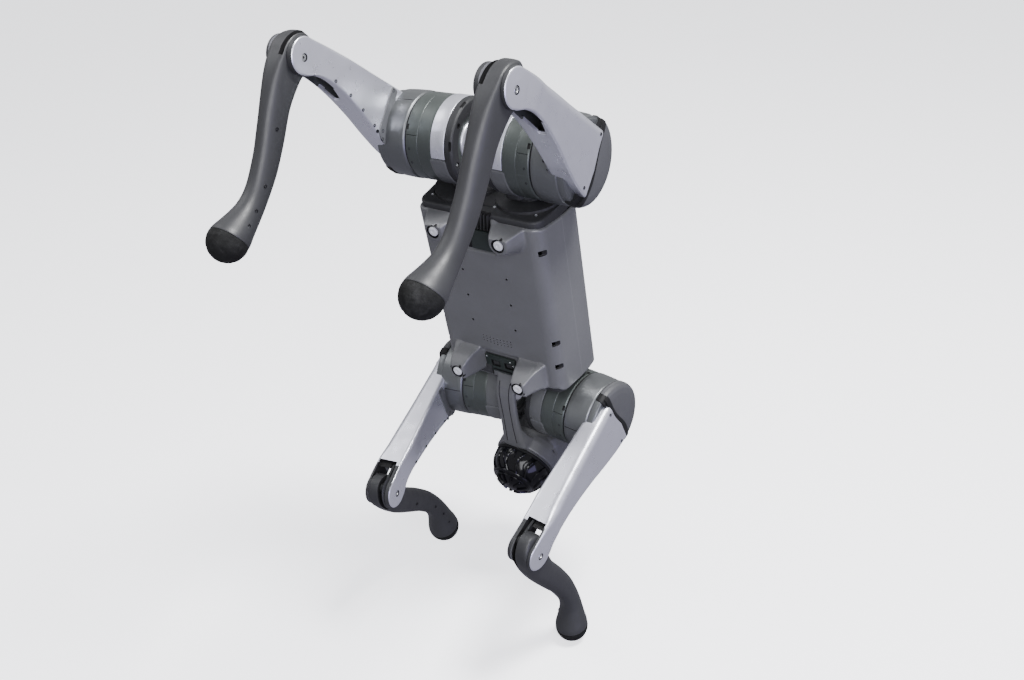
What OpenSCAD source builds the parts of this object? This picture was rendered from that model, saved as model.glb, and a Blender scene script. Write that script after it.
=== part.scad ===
// Quadruped robot dog, balanced on its front feet.
// Every leg hangs from one hip hinge, one thigh hinge and one knee hinge.
// Trunk frame: X to the head, Y to the left side, Z to the back.

/* [Leg layout] */
// Distance of each hip axis in front of or behind the trunk centre
hip_x = 193.4; // [192:0.1:196]
// Distance of each hip axis from the centre plane
hip_y = 46.5; // [46.2:0.1:48]
// Hip axis to the middle plane of the leg
leg_y = 95.5; // [95:0.1:97]
// Thigh hinge to knee hinge
thigh_len = 213; // [213:1:216]
// Knee hinge to the centre of the foot
calf_len = 213; // [212:1:216]

/* [Leg parts] */
// Radius of the thigh drum
drum_r = 54; // [53.6:0.1:54.4]
// Radius of the rubber foot
foot_r = 22.8; // [22.4:0.1:23]
// Length of the crank and of the lever it drives at the knee
lever = 20; // [19.8:0.1:20.2]
// Radius of the knee pin
pin_r = 5; // [4.8:0.1:5.2]
// Running gap on each side of a pin or shaft
run_gap = 0.05; // [0.02:0.01:0.08]

/* [Trunk] */
// Half width of the trunk at its widest line
trunk_w = 93.5; // [93:0.5:95]
// Height of the belly face below the trunk centre
belly_z = 57; // [57:0.5:58]
// Height of the back face above the trunk centre
back_z = 57; // [56:0.5:59]
// Length of the trunk covers from the centre to each end
trunk_l = 134; // [133:0.5:134]
// Wall thickness of the covers
wall = 2.5; // [2.4:0.1:2.8]
// Spacing of the belly holes along the trunk
hole_dx = 39.5; // [39:0.5:40]
// Spacing of the belly holes across the trunk
hole_dy = 66; // [64:1:68]
// Radius of the tapped belly holes
hole_r = 1.65; // [1.5:0.05:1.7]

/* [Stance] */
// Lean of the trunk from upright
lean = 9.5; // [8:0.5:11]
// Hip, thigh and knee angles, front left
fl = [-9.2, -10.6, -109.7];
// Hip, thigh and knee angles, front right
fr = [6.3, -15.4, -88.7];
// Hip, thigh and knee angles, rear left
rl = [-2.3, 48.3, -88.4];
// Hip, thigh and knee angles, rear right
rr = [1.2, 47.1, -85.4];

/* [Hidden] */
$fn = 64;

// colours
c_shell = [0.42,0.43,0.46]; c_dark = [0.20,0.21,0.23]; c_silver = [0.74,0.75,0.80];
c_black = [0.06,0.06,0.07]; c_motor = [0.30,0.33,0.32]; c_steel = [0.70,0.71,0.73];
c_rubber = [0.05,0.05,0.05]; c_white = [0.90,0.90,0.92];

// where the trunk centre stands above the floor, and the middle of the footprint
lx = -1.08; ly = 132.15;
// height of a foot centre along the upright, measured from the trunk centre
function foot_h(e, s, q) =
  let (x = e*hip_x - thigh_len*sin(q[1]) - calf_len*sin(q[1]+q[2]),
       d = -thigh_len*cos(q[1]) - calf_len*cos(q[1]+q[2]),
       z = s*leg_y*sin(q[0]) + d*cos(q[0]))
  -x*cos(lean) + z*sin(lean);
lz = foot_r - min(foot_h(1,1,fl), foot_h(1,-1,fr));

// ---------- frames ----------
// trunk frame, stood on its head end: back to +Y, right side to +X
module stand() {
  translate([lx, ly, lz])
    multmatrix([[0,-1,0,0],[sin(lean),0,cos(lean),0],[-cos(lean),0,sin(lean),0],[0,0,0,1]]) children();
}
// leg frames: e is 1 at the front, s is 1 on the left, q holds the three angles
module hip_f(e, s, q) stand() translate([e*hip_x, s*hip_y, 0]) rotate([q[0],0,0])
  mirror([0, s < 0 ? 1 : 0, 0]) mirror([e < 0 ? 1 : 0, 0, 0]) children();
module thigh_f(e, s, q) stand() translate([e*hip_x, s*hip_y, 0]) rotate([q[0],0,0])
  translate([0, s*leg_y, 0]) rotate([0,q[1],0]) mirror([0, s < 0 ? 1 : 0, 0]) children();
module calf_f(e, s, q) stand() translate([e*hip_x, s*hip_y, 0]) rotate([q[0],0,0])
  translate([0, s*leg_y, 0]) rotate([0,q[1],0]) translate([0,0,-thigh_len]) rotate([0,q[2],0])
  mirror([0, s < 0 ? 1 : 0, 0]) children();
// a cylinder along Y from y0 to y1
module ycyl(r, y0, y1) translate([0,y1,0]) rotate([90,0,0]) cylinder(r=r, h=y1-y0);
// a cylinder along X from x0 to x1
module xcyl(r, x0, x1) translate([x0,0,0]) rotate([0,90,0]) cylinder(r=r, h=x1-x0);
// a flat outline in X and Z, thickened from y0 to y1
module yext(y0, y1) translate([0,y1,0]) rotate([90,0,0]) linear_extrude(y1-y0) children();
// an outline in Y and Z, lengthened from x0 to x1
module xext(x0, x1) translate([x0,0,0]) rotate([90,0,90]) linear_extrude(x1-x0) children();

// ---------- trunk ----------
// right half of the cover outlines, shrunk by d
function belly_pts(d) = [[trunk_w-d,-9],[trunk_w-3.5-d,-42],[trunk_w-9.5-d*0.7,-belly_z+6+d*0.7],[trunk_w-20-d*0.4,-belly_z+d],
  [-(trunk_w-20-d*0.4),-belly_z+d],[-(trunk_w-9.5-d*0.7),-belly_z+6+d*0.7],[-(trunk_w-3.5-d),-42],[-(trunk_w-d),-9]];
function back_pts(d) = [[-(trunk_w-d),-9],[-(trunk_w-3-d),28],[-(trunk_w-16-d*0.8),46-d*0.6],[-(trunk_w-33-d*0.3),back_z-d],
  [trunk_w-33-d*0.3,back_z-d],[trunk_w-16-d*0.8,46-d*0.6],[trunk_w-3-d,28],[trunk_w-d,-9]];

pad_fx = 102; pad_rx = -109; pad_y = 47.5; pad_top = 80; pad_ftop = 92.5;
// low round boss on the belly at the tail end, under a pad
module boss2d(px, x0, x1) { translate([px,0]) circle(r=20); translate([x0,-20]) square([x1-x0,40]); }
module boss(px, x0, x1, s) translate([0, s*pad_y, -pad_top]) linear_extrude(pad_top-belly_z+1.5) boss2d(px,x0,x1);
// tall tapered boss at the head end
module boss_front(s) intersection() {
  xext(80, 121) polygon([[s*31,-belly_z+1.5],[s*37.5,-pad_ftop],[s*57.5,-pad_ftop],[s*71,-belly_z+1.5]]);
  yext(-75, 75) polygon([[82,-belly_z+1.5],[90.5,-pad_ftop],[113,-pad_ftop],[119,-belly_z+1.5]]);
}
module belly_cover() stand() color(c_shell) {
  difference() {
    union() {
      difference() {
        xext(-trunk_l+8, trunk_l) polygon(belly_pts(0));
        xext(-trunk_l-1, trunk_l+1) polygon(concat(belly_pts(wall), [[-(trunk_w-wall),-8],[trunk_w-wall,-8]]));
      }
      for (s=[-1,1]) { boss_front(s); boss(pad_rx, -123, pad_rx, s); }
      for (i=[-1:1], s=[-1,1]) translate([i*hole_dx-3, s*hole_dy/2, -belly_z+1]) cylinder(r=4.5, h=5.8);
    }
    // tapped holes in the belly
    for (i=[-1:1], s=[-1,1]) translate([i*hole_dx-3, s*hole_dy/2, -belly_z-1]) cylinder(r=hole_r, h=12);
    // seats of the round pads
    for (s=[-1,1]) { translate([pad_fx, s*pad_y, -pad_ftop-1]) cylinder(r=8.6, h=5); translate([pad_rx, s*pad_y, -pad_top-1]) cylinder(r=8.6, h=5); }
    // the rims stand back at the sides
    for (s=[-1,1]) { translate([trunk_l-14.5, s*100-35, -100]) cube([20,70,120]); translate([-143, s*90-60, -100]) cube([20,120,120]); }
    // opening for the port panel, and the vent
    translate([100,-25,-belly_z-2]) cube([32,50,6]);
    translate([-124,-18.5,-belly_z-2]) cube([44,37,6]);
    // side slots
    for (x=[-89,47,84], s=[-1,1]) translate([x-4, s*(trunk_w-10.5)-6, -belly_z-2]) cube([8,12,9]);
    // clearance around each thigh drum
    for (e=[-1,1]) translate([e*hip_x,0,0]) { ycyl(72, -105, -18); ycyl(72, 18, 105); }
  }
}
module back_cover() stand() color(c_shell) difference() {
  union() {
    difference() {
      xext(-trunk_l+11, trunk_l) polygon(back_pts(0));
      xext(-trunk_l-1, trunk_l+1) polygon(concat(back_pts(wall), [[trunk_w-wall,-10],[-(trunk_w-wall),-10]]));
    }
  }
  for (e=[-1,1]) translate([e*hip_x,0,0]) { ycyl(66, -105, -18); ycyl(66, 18, 105); }
  // the rims stand back at the sides
  for (s=[-1,1]) { translate([trunk_l-14.5, s*100-35, -20]) cube([20,70,64]); translate([-131, s*100-35, -20]) cube([20,70,64]); }
  // battery door in the left side
  translate([-76,70,-8]) cube([142,40,36]);
}
function section(d) = concat(belly_pts(d), [for (i=[1:6]) back_pts(d)[i]]);
module chassis() stand() color(c_dark) difference() {
  union() {
    translate([-130,-76,-50]) cube([260,152,5]);
    for (e=[-1,1]) {
      intersection() { xext(e*100.5-3.5, e*100.5+3.5) polygon(section(wall+0.5)); translate([-150,-90,-50]) cube([300,180,94]); }
      intersection() { xext(e*127-3, e*127+3) polygon(section(wall+0.5)); translate([-150,-90,-50]) cube([300,180,96]); }
    }
    for (s=[-1,1]) translate([-130,s*20-4,40]) cube([260,8,4]);
    // neck root
    translate([124,-20,-50]) cube([10,40,24]);
  }
  for (e=[-1,1], s=[-1,1]) translate([0,s*hip_y,0]) {
    xcyl(42.6, min(e*110,e*140), max(e*110,e*140));
    xcyl(20, min(e*90,e*112), max(e*90,e*112));
  }
}
module hip_motors() stand() color(c_motor) for (e=[-1,1], s=[-1,1]) translate([0,s*hip_y,0]) mirror([e<0?1:0,0,0]) {
  xcyl(42, 104.1, 134);
  xcyl(18, 133, 136.5);
  xcyl(12, 136, 143.2);
}
module battery() stand() color(c_dark) difference() {
  union() {
    translate([-70,-64,-6]) cube([130,142,32]);
    translate([-75,76,-7]) cube([140,10,34]);
    translate([-75,86,-7]) rotate([90,0,90]) linear_extrude(140) polygon([[0,0],[6.6,0],[4,34],[0,34]]);
  }
  translate([-5,92,10]) ycyl(9, -9, 4);
}
module power_button() stand() color(c_steel) translate([-5,92,10]) { ycyl(8.6, -6.5, -0.5); ycyl(6.5,-1,0.6);}
module main_board() stand() color([0.08,0.24,0.16]) {
  translate([-85,-60,-44.9]) cube([170,120,1.6]);
  translate([-30,-25,-43.5]) cube([60,50,22]);
  translate([45,-30,-43.5]) cube([25,60,9]);
  translate([-75,-50,-43.5]) cube([30,30,9]);
  translate([-75,15,-43.5]) cube([30,30,12]);
}
module belly_pads() stand() color(c_white) for (s=[-1,1], p=[[pad_fx,pad_ftop],[pad_rx,pad_top]]) translate([p[0], s*pad_y, -p[1]-1.5]) cylinder(r=8.4, h=5.4);
module port_panel() stand() color(c_black) {
  translate([100.2,-24.8,-belly_z-1]) cube([31.6,49.6,5.5]);
  translate([106,-18,-belly_z-1.8]) cube([9,14,1]);
  translate([106,4,-belly_z-1.8]) cube([9,14,1]);
}
module vent_grille() stand() color(c_dark) difference() {
  translate([-123.8,-18.3,-belly_z-0.5]) cube([43.6,36.6,5]);
  for (i=[0:5]) translate([-119+i*4,-14,-belly_z-2]) cube([1.8,28,4]);
}

// ---------- head ----------
l_c = [289.5, 0, -46.8]; l_tilt = 18;
module dome_f() stand() translate(l_c) rotate([0, 180-l_tilt, 0]) children();
module head_shell() stand() color(c_shell) difference() {
  union() {
    // neck
    translate([134.3,-20,-66]) cube([115,40,9]);
    translate([234,-20,-66]) cube([15.3,40,30]);
    translate([134.3,-20,-66]) cube([3.2,40,36]);
    // skull
    xext(252, 332) polygon([[-46,-34],[-50,0],[-44,34],[-28,50],[28,50],[44,34],[50,0],[46,-34],[34,-42],[-34,-42]]);
    // collar
    translate(l_c) rotate([0,180-l_tilt,0]) translate([0,0,-30]) cylinder(r=46, h=28);
  }
  // space for the scanner
  translate(l_c) rotate([0,180-l_tilt,0]) { translate([0,0,-24]) cylinder(r=42.3, h=60); translate([0,0,-2]) cylinder(r=44, h=60); }
  // space for the face panel
  translate([326,-38,-24]) cube([10,76,60]);
  xext(262, 340) polygon([[-42,6],[-38,32],[-26,44],[26,44],[38,32],[42,6]]);
}
module face_panel() stand() color(c_black) difference() {
  union() {
    translate([326.2,-37.8,-23.8]) cube([5.8,75.6,28]);
    xext(326.2, 334) polygon([[-37,4],[-36,31],[-25,41],[25,41],[36,31],[37,4]]);
  }
  translate([0,0,18]) xcyl(9.1, 320, 340);
}
module camera() stand() color(c_black) translate([0,0,18]) { xcyl(9, 318, 333); xcyl(6, 332, 336); }
module lidar_base() dome_f() color(c_dark) difference() {
  union() { translate([0,0,-23]) cylinder(r=42, h=21.2); translate([0,0,-1.9]) cylinder(r=43.5, h=1.9); }
  translate([0,0,-14]) cylinder(r=36, h=20);
  translate([0,0,-24]) cylinder(r=3.05, h=20);
}
module lidar_dome() dome_f() color(c_black) {
  difference() {
    union() {
      translate([0,0,0.1]) cylinder(r=41, h=6);
      translate([0,0,6]) difference() { sphere(r=40); translate([0,0,-50]) cube(100, center=true); }
      // raised ring and ribs
      translate([0,0,5.9]) cylinder(r=42.2, h=3);
      for (i=[0:9]) rotate([0,0,i*36]) translate([0,0,6]) rotate([90,0,0]) intersection() {
        translate([0,0,-1.5]) difference() { cylinder(r=42, h=3); translate([0,0,-1]) cylinder(r=39, h=5); }
        translate([10,0,-5]) cube([60,60,10]);
      }
    }
    translate([0,0,-1]) cylinder(r=37.5, h=7.1);
    translate([0,0,6]) sphere(r=37.5);
  }
}
module lidar_rotor() dome_f() color(c_steel) {
  translate([0,0,-22]) cylinder(r=3, h=14);
  translate([0,0,-9]) cylinder(r=20, h=8);
  translate([-11,-3,-2]) cube([22,6,26]);
}

// ---------- leg ----------
// hip ring: carries the thigh motor and turns on the hip motor shaft
module hip(e,s,q) hip_f(e,s,q) color(c_silver) difference() {
  union() {
    ycyl(drum_r, -25, 5);
    intersection() { translate([0,-6,0]) xcyl(20, -56.4, -40); translate([-60,-30,-30]) cube([30,35,60]); }
    xcyl(19, -56.4, -53.8);
  }
  ycyl(46.5, -19, 6);
  ycyl(33, -26, -18);
  xcyl(12+run_gap, -58, -40);
}
module thigh_motor(e,s,q) hip_f(e,s,q) color(c_motor) difference() {
  union() { ycyl(46.4, -18.9, 5.5); ycyl(drum_r-0.8, 5.1, 42.5); ycyl(14, 42, 51.5); }
  // hollow core for the wiring
  ycyl(9, -20, 30);
  // room for the hip shaft
  xcyl(12.6, -58, -49.6);
}
// outline of the thigh blade, d narrower all round
function blade(d, zt=1) = [[-40+d,zt],[-36+d,-60],[-32+d,-126],[-29.5+d,-165],[-23+d,-213],[18-d,-213],[6-d,-188],[3.5-d,-150],[14-d,-95],[31-d,-30],[40-d,zt]];
// the front edge of the fork is cut back for the folded lower leg
fork_front = [[-9,-thigh_len+31],[2.5,-150],[40,-150],[40,-thigh_len+31]];
module thigh(e,s,q) thigh_f(e,s,q) color(c_silver) difference() {
  union() {
    // drum with the knee motor in it
    ycyl(drum_r, -52, -17.5);
    yext(-24,-17.5) polygon(blade(0));
    yext(-17.6,-8) polygon(blade(0));
    translate([-2,0,-thigh_len]) yext(-20,-13.6) circle(r=21);
  }
  ycyl(44, -43.5, 0);
  ycyl(14+run_gap, -53, -43);
  // channel for the push rod
  difference() { yext(-15,-7) polygon(blade(3)); translate([0,0,-thigh_len-20]) cube([80,80,44], center=true); }
  // fork for the knee
  translate([-40,-13.5,-thigh_len-30]) cube([80,10,62]);
  yext(-13.5,-4) polygon(fork_front);
  translate([0,0,-thigh_len]) ycyl(pin_r, -30, -10);
}
// the outer face slopes outward from the drum to the knee
module thigh_cover(e,s,q) thigh_f(e,s,q) color(c_silver) difference() {
  intersection() {
    union() { yext(-7.9,20) polygon(blade(0)); translate([-2,0,-thigh_len]) yext(-7.9,20) circle(r=21); }
    translate([-70,0,0]) rotate([90,0,90]) linear_extrude(140) polygon([[-7.9,1],[1,1],[8,-80],[18,-175],[18,-240],[-7.9,-240]]);
  }
  // inside of the shell
  difference() {
    intersection() {
      yext(-9,20) polygon(blade(3,4));
      translate([-70,0,0]) rotate([90,0,90]) linear_extrude(140) polygon([[-9,3],[-4.4,3],[-4.4,-1],[-1.5,-8],[5,-80],[14,-170],[14,-250],[-9,-250]]);
    }
    translate([0,0,-thigh_len-20]) cube([80,80,44], center=true);
  }
  translate([-40,-14,-thigh_len-30]) cube([80,27.5,62]);
  yext(-14,13.5) polygon(fork_front);
  translate([0,0,-thigh_len]) ycyl(pin_r, 10, 30);
}
module knee_motor(e,s,q) thigh_f(e,s,q) color(c_motor) {
  union() { ycyl(43.8, -43.4, -18.5); ycyl(8, -18.6, -11.8); }
}
module crank(e,s,q) thigh_f(e,s,q) rotate([0,q[2],0]) color(c_steel) difference() {
  union() {
    ycyl(12, -16.5, -11.9);
    yext(-16.5,-11.9) polygon([[-11,0],[-6,lever],[6,lever],[11,0]]);
    translate([0,0,lever]) ycyl(6, -16.5, -11.9);
    translate([0,0,lever]) ycyl(3, -12, -5.6);
  }
  ycyl(8+run_gap, -18, -11);
}
module rod(e,s,q) thigh_f(e,s,q) translate([lever*sin(q[2]),0,lever*cos(q[2])]) color(c_steel) difference() {
  union() {
    ycyl(6, -9.5, -6);
    translate([-2.6,-9.5,-thigh_len]) cube([5.2,3.5,thigh_len]);
    translate([0,0,-thigh_len]) ycyl(6.5, -9.5, -6);
  }
  ycyl(3+run_gap, -10, -5);
  // open pivot: the eye stands clear of the lever pin
  translate([0,0,-thigh_len]) ycyl(4, -10, -5);
}
// the cap closes the upper half of the drum end
module motor_cap(e,s,q) thigh_f(e,s,q) color(c_dark) difference() {
  union() {
    rotate([-90,0,0]) rotate_extrude() polygon([[0,-17.4],[drum_r-0.5,-17.4],[drum_r-0.5,-11.5],[50,-6.5],[42,-3.4],[30,-2],[0,-1.5]]);
  }
  translate([-60,-30,-60]) cube([120,40,61.3]);
  ycyl(40, -18, -4.5);
}
module knee_pin(e,s,q) thigh_f(e,s,q) translate([0,0,-thigh_len]) color(c_steel) { ycyl(pin_r-0.02, -19, 17); }
// lower leg outline
function calf_out() = [[-22,0],[-25,-14],[-21,-35],[-13,-71],[-2,-107],[4,-143],[3,-168],[-3,-182],[-12,-192],[14,-206],[29,-196],[31,-185],[32.5,-160],[32,-125],[28,-90],[19.5,-55],[17,-25],[22,0]];
module calf(e,s,q) calf_f(e,s,q) color(c_dark) difference() {
  union() {
    ycyl(22, -13, 13);
    yext(-13,13) polygon([[-22,0],[-9.5,24],[9.5,24],[22,0]]);
    translate([0,0,lever]) ycyl(10.5, -13, 13);
    yext(-13,13) polygon(calf_out());
    // end socket of the foot
    translate([0,0,-calf_len]) rotate([0,14,0]) translate([0,0,3.2]) cylinder(r1=foot_r-0.2, r2=16, h=32);
  }
  ycyl(pin_r+run_gap, -14, 14);
  // slot for the push rod, with its pin left standing
  difference() {
    yext(-10.5,-5) polygon([[-40,60],[60,60],[60,-90],[36.5,-70.7],[23,-40.7],[8.5,-8.7],[-40,-8.7]]);
    translate([0,0,lever]) ycyl(3, -11, -4);
  }
  // seat of the foot
  translate([0,0,-calf_len]) rotate([0,14,0]) cylinder(r=10.1, h=16);
}
function arc(r, a0, a1, n) = [for (i=[0:n]) [r*cos(a0+(a1-a0)*i/n), r*sin(a0+(a1-a0)*i/n)]];
module foot(e,s,q) calf_f(e,s,q) color(c_rubber) translate([0,0,-calf_len]) rotate([0,14,0])
  rotate_extrude() polygon(concat([[0,-foot_r]], [for (p=arc(foot_r,-82,0,11)) p], [[sqrt(foot_r*foot_r-9),3],[10,3],[10,15.5],[0,15.5]]));

belly_cover();
back_cover();
chassis();
hip_motors();
battery();
power_button();
main_board();
head_shell();
face_panel();
camera();
lidar_base();
lidar_dome();
lidar_rotor();
belly_pads();
port_panel();
vent_grille();
hip(1, 1, fl);  // hip_fl
thigh_motor(1, 1, fl);  // thigh_motor_fl
knee_motor(1, 1, fl);  // knee_motor_fl
thigh(1, 1, fl);  // thigh_fl
thigh_cover(1, 1, fl);  // thigh_cover_fl
motor_cap(1, 1, fl);  // motor_cap_fl
knee_pin(1, 1, fl);  // knee_pin_fl
crank(1, 1, fl);  // crank_fl
rod(1, 1, fl);  // rod_fl
calf(1, 1, fl);  // calf_fl
foot(1, 1, fl);  // foot_fl
hip(1, -1, fr);  // hip_fr
thigh_motor(1, -1, fr);  // thigh_motor_fr
knee_motor(1, -1, fr);  // knee_motor_fr
thigh(1, -1, fr);  // thigh_fr
thigh_cover(1, -1, fr);  // thigh_cover_fr
motor_cap(1, -1, fr);  // motor_cap_fr
knee_pin(1, -1, fr);  // knee_pin_fr
crank(1, -1, fr);  // crank_fr
rod(1, -1, fr);  // rod_fr
calf(1, -1, fr);  // calf_fr
foot(1, -1, fr);  // foot_fr
hip(-1, 1, rl);  // hip_rl
thigh_motor(-1, 1, rl);  // thigh_motor_rl
knee_motor(-1, 1, rl);  // knee_motor_rl
thigh(-1, 1, rl);  // thigh_rl
thigh_cover(-1, 1, rl);  // thigh_cover_rl
motor_cap(-1, 1, rl);  // motor_cap_rl
knee_pin(-1, 1, rl);  // knee_pin_rl
crank(-1, 1, rl);  // crank_rl
rod(-1, 1, rl);  // rod_rl
calf(-1, 1, rl);  // calf_rl
foot(-1, 1, rl);  // foot_rl
hip(-1, -1, rr);  // hip_rr
thigh_motor(-1, -1, rr);  // thigh_motor_rr
knee_motor(-1, -1, rr);  // knee_motor_rr
thigh(-1, -1, rr);  // thigh_rr
thigh_cover(-1, -1, rr);  // thigh_cover_rr
motor_cap(-1, -1, rr);  // motor_cap_rr
knee_pin(-1, -1, rr);  // knee_pin_rr
crank(-1, -1, rr);  // crank_rr
rod(-1, -1, rr);  // rod_rr
calf(-1, -1, rr);  // calf_rr
foot(-1, -1, rr);  // foot_rr
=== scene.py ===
import math
import bpy, bmesh
import numpy as np
from mathutils import Matrix, Vector


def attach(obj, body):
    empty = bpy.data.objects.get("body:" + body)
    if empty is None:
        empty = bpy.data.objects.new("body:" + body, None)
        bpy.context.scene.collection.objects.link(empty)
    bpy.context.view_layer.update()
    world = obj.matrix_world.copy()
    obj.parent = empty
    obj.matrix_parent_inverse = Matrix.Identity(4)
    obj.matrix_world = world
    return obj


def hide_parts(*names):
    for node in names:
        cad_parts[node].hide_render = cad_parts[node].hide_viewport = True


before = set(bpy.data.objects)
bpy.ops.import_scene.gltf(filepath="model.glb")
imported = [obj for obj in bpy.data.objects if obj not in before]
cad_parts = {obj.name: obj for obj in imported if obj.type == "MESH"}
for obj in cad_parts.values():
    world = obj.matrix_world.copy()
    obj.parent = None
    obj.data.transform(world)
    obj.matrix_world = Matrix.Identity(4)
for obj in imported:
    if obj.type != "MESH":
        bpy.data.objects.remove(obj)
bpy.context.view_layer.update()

# ------------------------------------------------------------------ sizes (mm, as in the CAD source)
HX, HY, LEGY, L1, L2, LEVER = 193.4, 46.5, 95.5, 213.0, 213.0, 20.0
LEAN = math.radians(9.5)
sL, cL = math.sin(LEAN), math.cos(LEAN)
Q = {"fl": (-9.2, -10.6, -109.7), "fr": (6.3, -15.4, -88.7), "rl": (-2.3, 48.3, -88.4), "rr": (1.2, 47.1, -85.4)}
ES = {"fl": (1, 1), "fr": (1, -1), "rl": (-1, 1), "rr": (-1, -1)}
FOOT_R = 22.8


def T(x, y, z): return Matrix.Translation((x, y, z))
def R(a, ax): return Matrix.Rotation(math.radians(a), 4, ax)


def foot_h(e, s, q):
    a, t, k = (math.radians(v) for v in q)
    x = e * HX - L1 * math.sin(t) - L2 * math.sin(t + k)
    d = -L1 * math.cos(t) - L2 * math.cos(t + k)
    z = s * LEGY * math.sin(a) + d * math.cos(a)
    return -x * cL + z * sL


LZ = FOOT_R - min(foot_h(1, 1, Q["fl"]), foot_h(1, -1, Q["fr"]))
LX, LY = -1.08, 132.15
STAND = Matrix(((0, -1, 0, LX), (sL, 0, cL, LY), (-cL, 0, sL, LZ), (0, 0, 0, 1)))
MIRY = Matrix.Scale(-1, 4, (0, 1, 0))


def hip_m(k):
    e, s = ES[k]
    return STAND @ T(e * HX, s * HY, 0) @ R(Q[k][0], "X") @ (MIRY if s < 0 else Matrix.Identity(4))


def thigh_m(k):
    e, s = ES[k]
    return STAND @ T(e * HX, s * HY, 0) @ R(Q[k][0], "X") @ T(0, s * LEGY, 0) @ R(Q[k][1], "Y") @ (MIRY if s < 0 else Matrix.Identity(4))


def calf_m(k):
    e, s = ES[k]
    return STAND @ T(e * HX, s * HY, 0) @ R(Q[k][0], "X") @ T(0, s * LEGY, 0) @ R(Q[k][1], "Y") @ T(0, 0, -L1) @ R(Q[k][2], "Y") @ (MIRY if s < 0 else Matrix.Identity(4))


# ------------------------------------------------------------------ mesh helpers
def make(name, V, F, M=None, mat=None, sharp=32):
    V = np.asarray(V, float)
    M = M or Matrix.Identity(4)
    A = np.array(M, float)
    V = (V @ A[:3, :3].T + A[:3, 3]) * 0.001
    if np.linalg.det(A[:3, :3]) < 0:
        F = [tuple(reversed(f)) for f in F]
    me = bpy.data.meshes.new(name)
    me.from_pydata(V.tolist(), [], [tuple(int(i) for i in f) for f in F])
    me.update()
    o = bpy.data.objects.new(name, me)
    bpy.context.scene.collection.objects.link(o)
    if mat:
        me.materials.append(mat)
    shade(o, sharp)
    return o


def shade(o, sharp=32):
    me = o.data
    me.polygons.foreach_set("use_smooth", [True] * len(me.polygons))
    me.set_sharp_from_angle(angle=math.radians(sharp))
    me.update()


def bake(o, sharp=32):
    """Applies the modifiers."""
    dg = bpy.context.evaluated_depsgraph_get()
    me = bpy.data.meshes.new_from_object(o.evaluated_get(dg))
    o.modifiers.clear()
    o.data = me
    shade(o, sharp)
    return o


def kill(o):
    bpy.data.objects.remove(o)


def join(name, objs):
    """Joins objects into one, keeping their materials."""
    mats, V, F, MI, SM = [], [], [], [], []
    off = 0
    for o in objs:
        me = o.data
        idx = []
        for m in me.materials:
            if m not in mats:
                mats.append(m)
            idx.append(mats.index(m))
        co = np.zeros(len(me.vertices) * 3)
        me.vertices.foreach_get("co", co)
        V.append(co.reshape(-1, 3))
        for p in me.polygons:
            F.append(tuple(v + off for v in p.vertices))
            MI.append(idx[p.material_index] if idx else 0)
        off += len(me.vertices)
    me = bpy.data.meshes.new(name)
    me.from_pydata(np.concatenate(V).tolist(), [], F)
    for m in mats:
        me.materials.append(m)
    me.polygons.foreach_set("material_index", MI)
    me.update()
    for o in objs:
        kill(o)
    o = bpy.data.objects.new(name, me)
    bpy.context.scene.collection.objects.link(o)
    shade(o)
    return o


def volume(me):
    bm = bmesh.new()
    bm.from_mesh(me)
    v = abs(bm.calc_volume(signed=True))
    bm.free()
    return v


def boolean(o, cutters, op="DIFFERENCE", sharp=32):
    """Cuts one by one. A result whose volume cannot be right is made again with the other solver."""
    for c in cutters:
        if not len(c.data.materials) and len(o.data.materials):
            c.data.materials.append(o.data.materials[0])
        v0, vc, old = volume(o.data), volume(c.data), o.data
        for solver in ("EXACT", "FAST"):
            m = o.modifiers.new("b", "BOOLEAN")
            m.object, m.operation, m.solver = c, op, solver
            if solver == "EXACT":
                m.material_mode = "TRANSFER"
            bake(o, sharp)
            v1 = volume(o.data)
            if op != "DIFFERENCE" or v0 * 1.002 >= v1 >= v0 - vc * 1.05 - v0 * 0.002 and len(o.data.polygons) > 5:
                break
            if solver == "EXACT":
                o.data = old
        kill(c)
    return o


def tint(o, M, test, mat):
    """Gives the faces that pass a test, in a leg's own frame, another material."""
    me = o.data
    if mat.name not in [m.name for m in me.materials]:
        me.materials.append(mat)
    idx = [m.name for m in me.materials].index(mat.name)
    A = np.linalg.inv(np.array(M, float))
    for p in me.polygons:
        c = A[:3, :3] @ (np.array(p.center) * 1000) + A[:3, 3]
        n = A[:3, :3] @ np.array(p.normal)
        if test(c, n):
            p.material_index = idx


def bevel(o, w, seg=3, angle=35, sharp=32):
    m = o.modifiers.new("bv", "BEVEL")
    m.width, m.segments, m.limit_method, m.angle_limit = w * 0.001, seg, "ANGLE", math.radians(angle)
    m.use_clamp_overlap = True
    return bake(o, sharp)


def remesh(o, voxel, smooth=4, factor=0.5, sharp=70):
    m = o.modifiers.new("r", "REMESH")
    m.mode, m.voxel_size = "VOXEL", voxel * 0.001
    if smooth:
        s = o.modifiers.new("s", "SMOOTH")
        s.factor, s.iterations = factor, smooth
    return bake(o, sharp)


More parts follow.
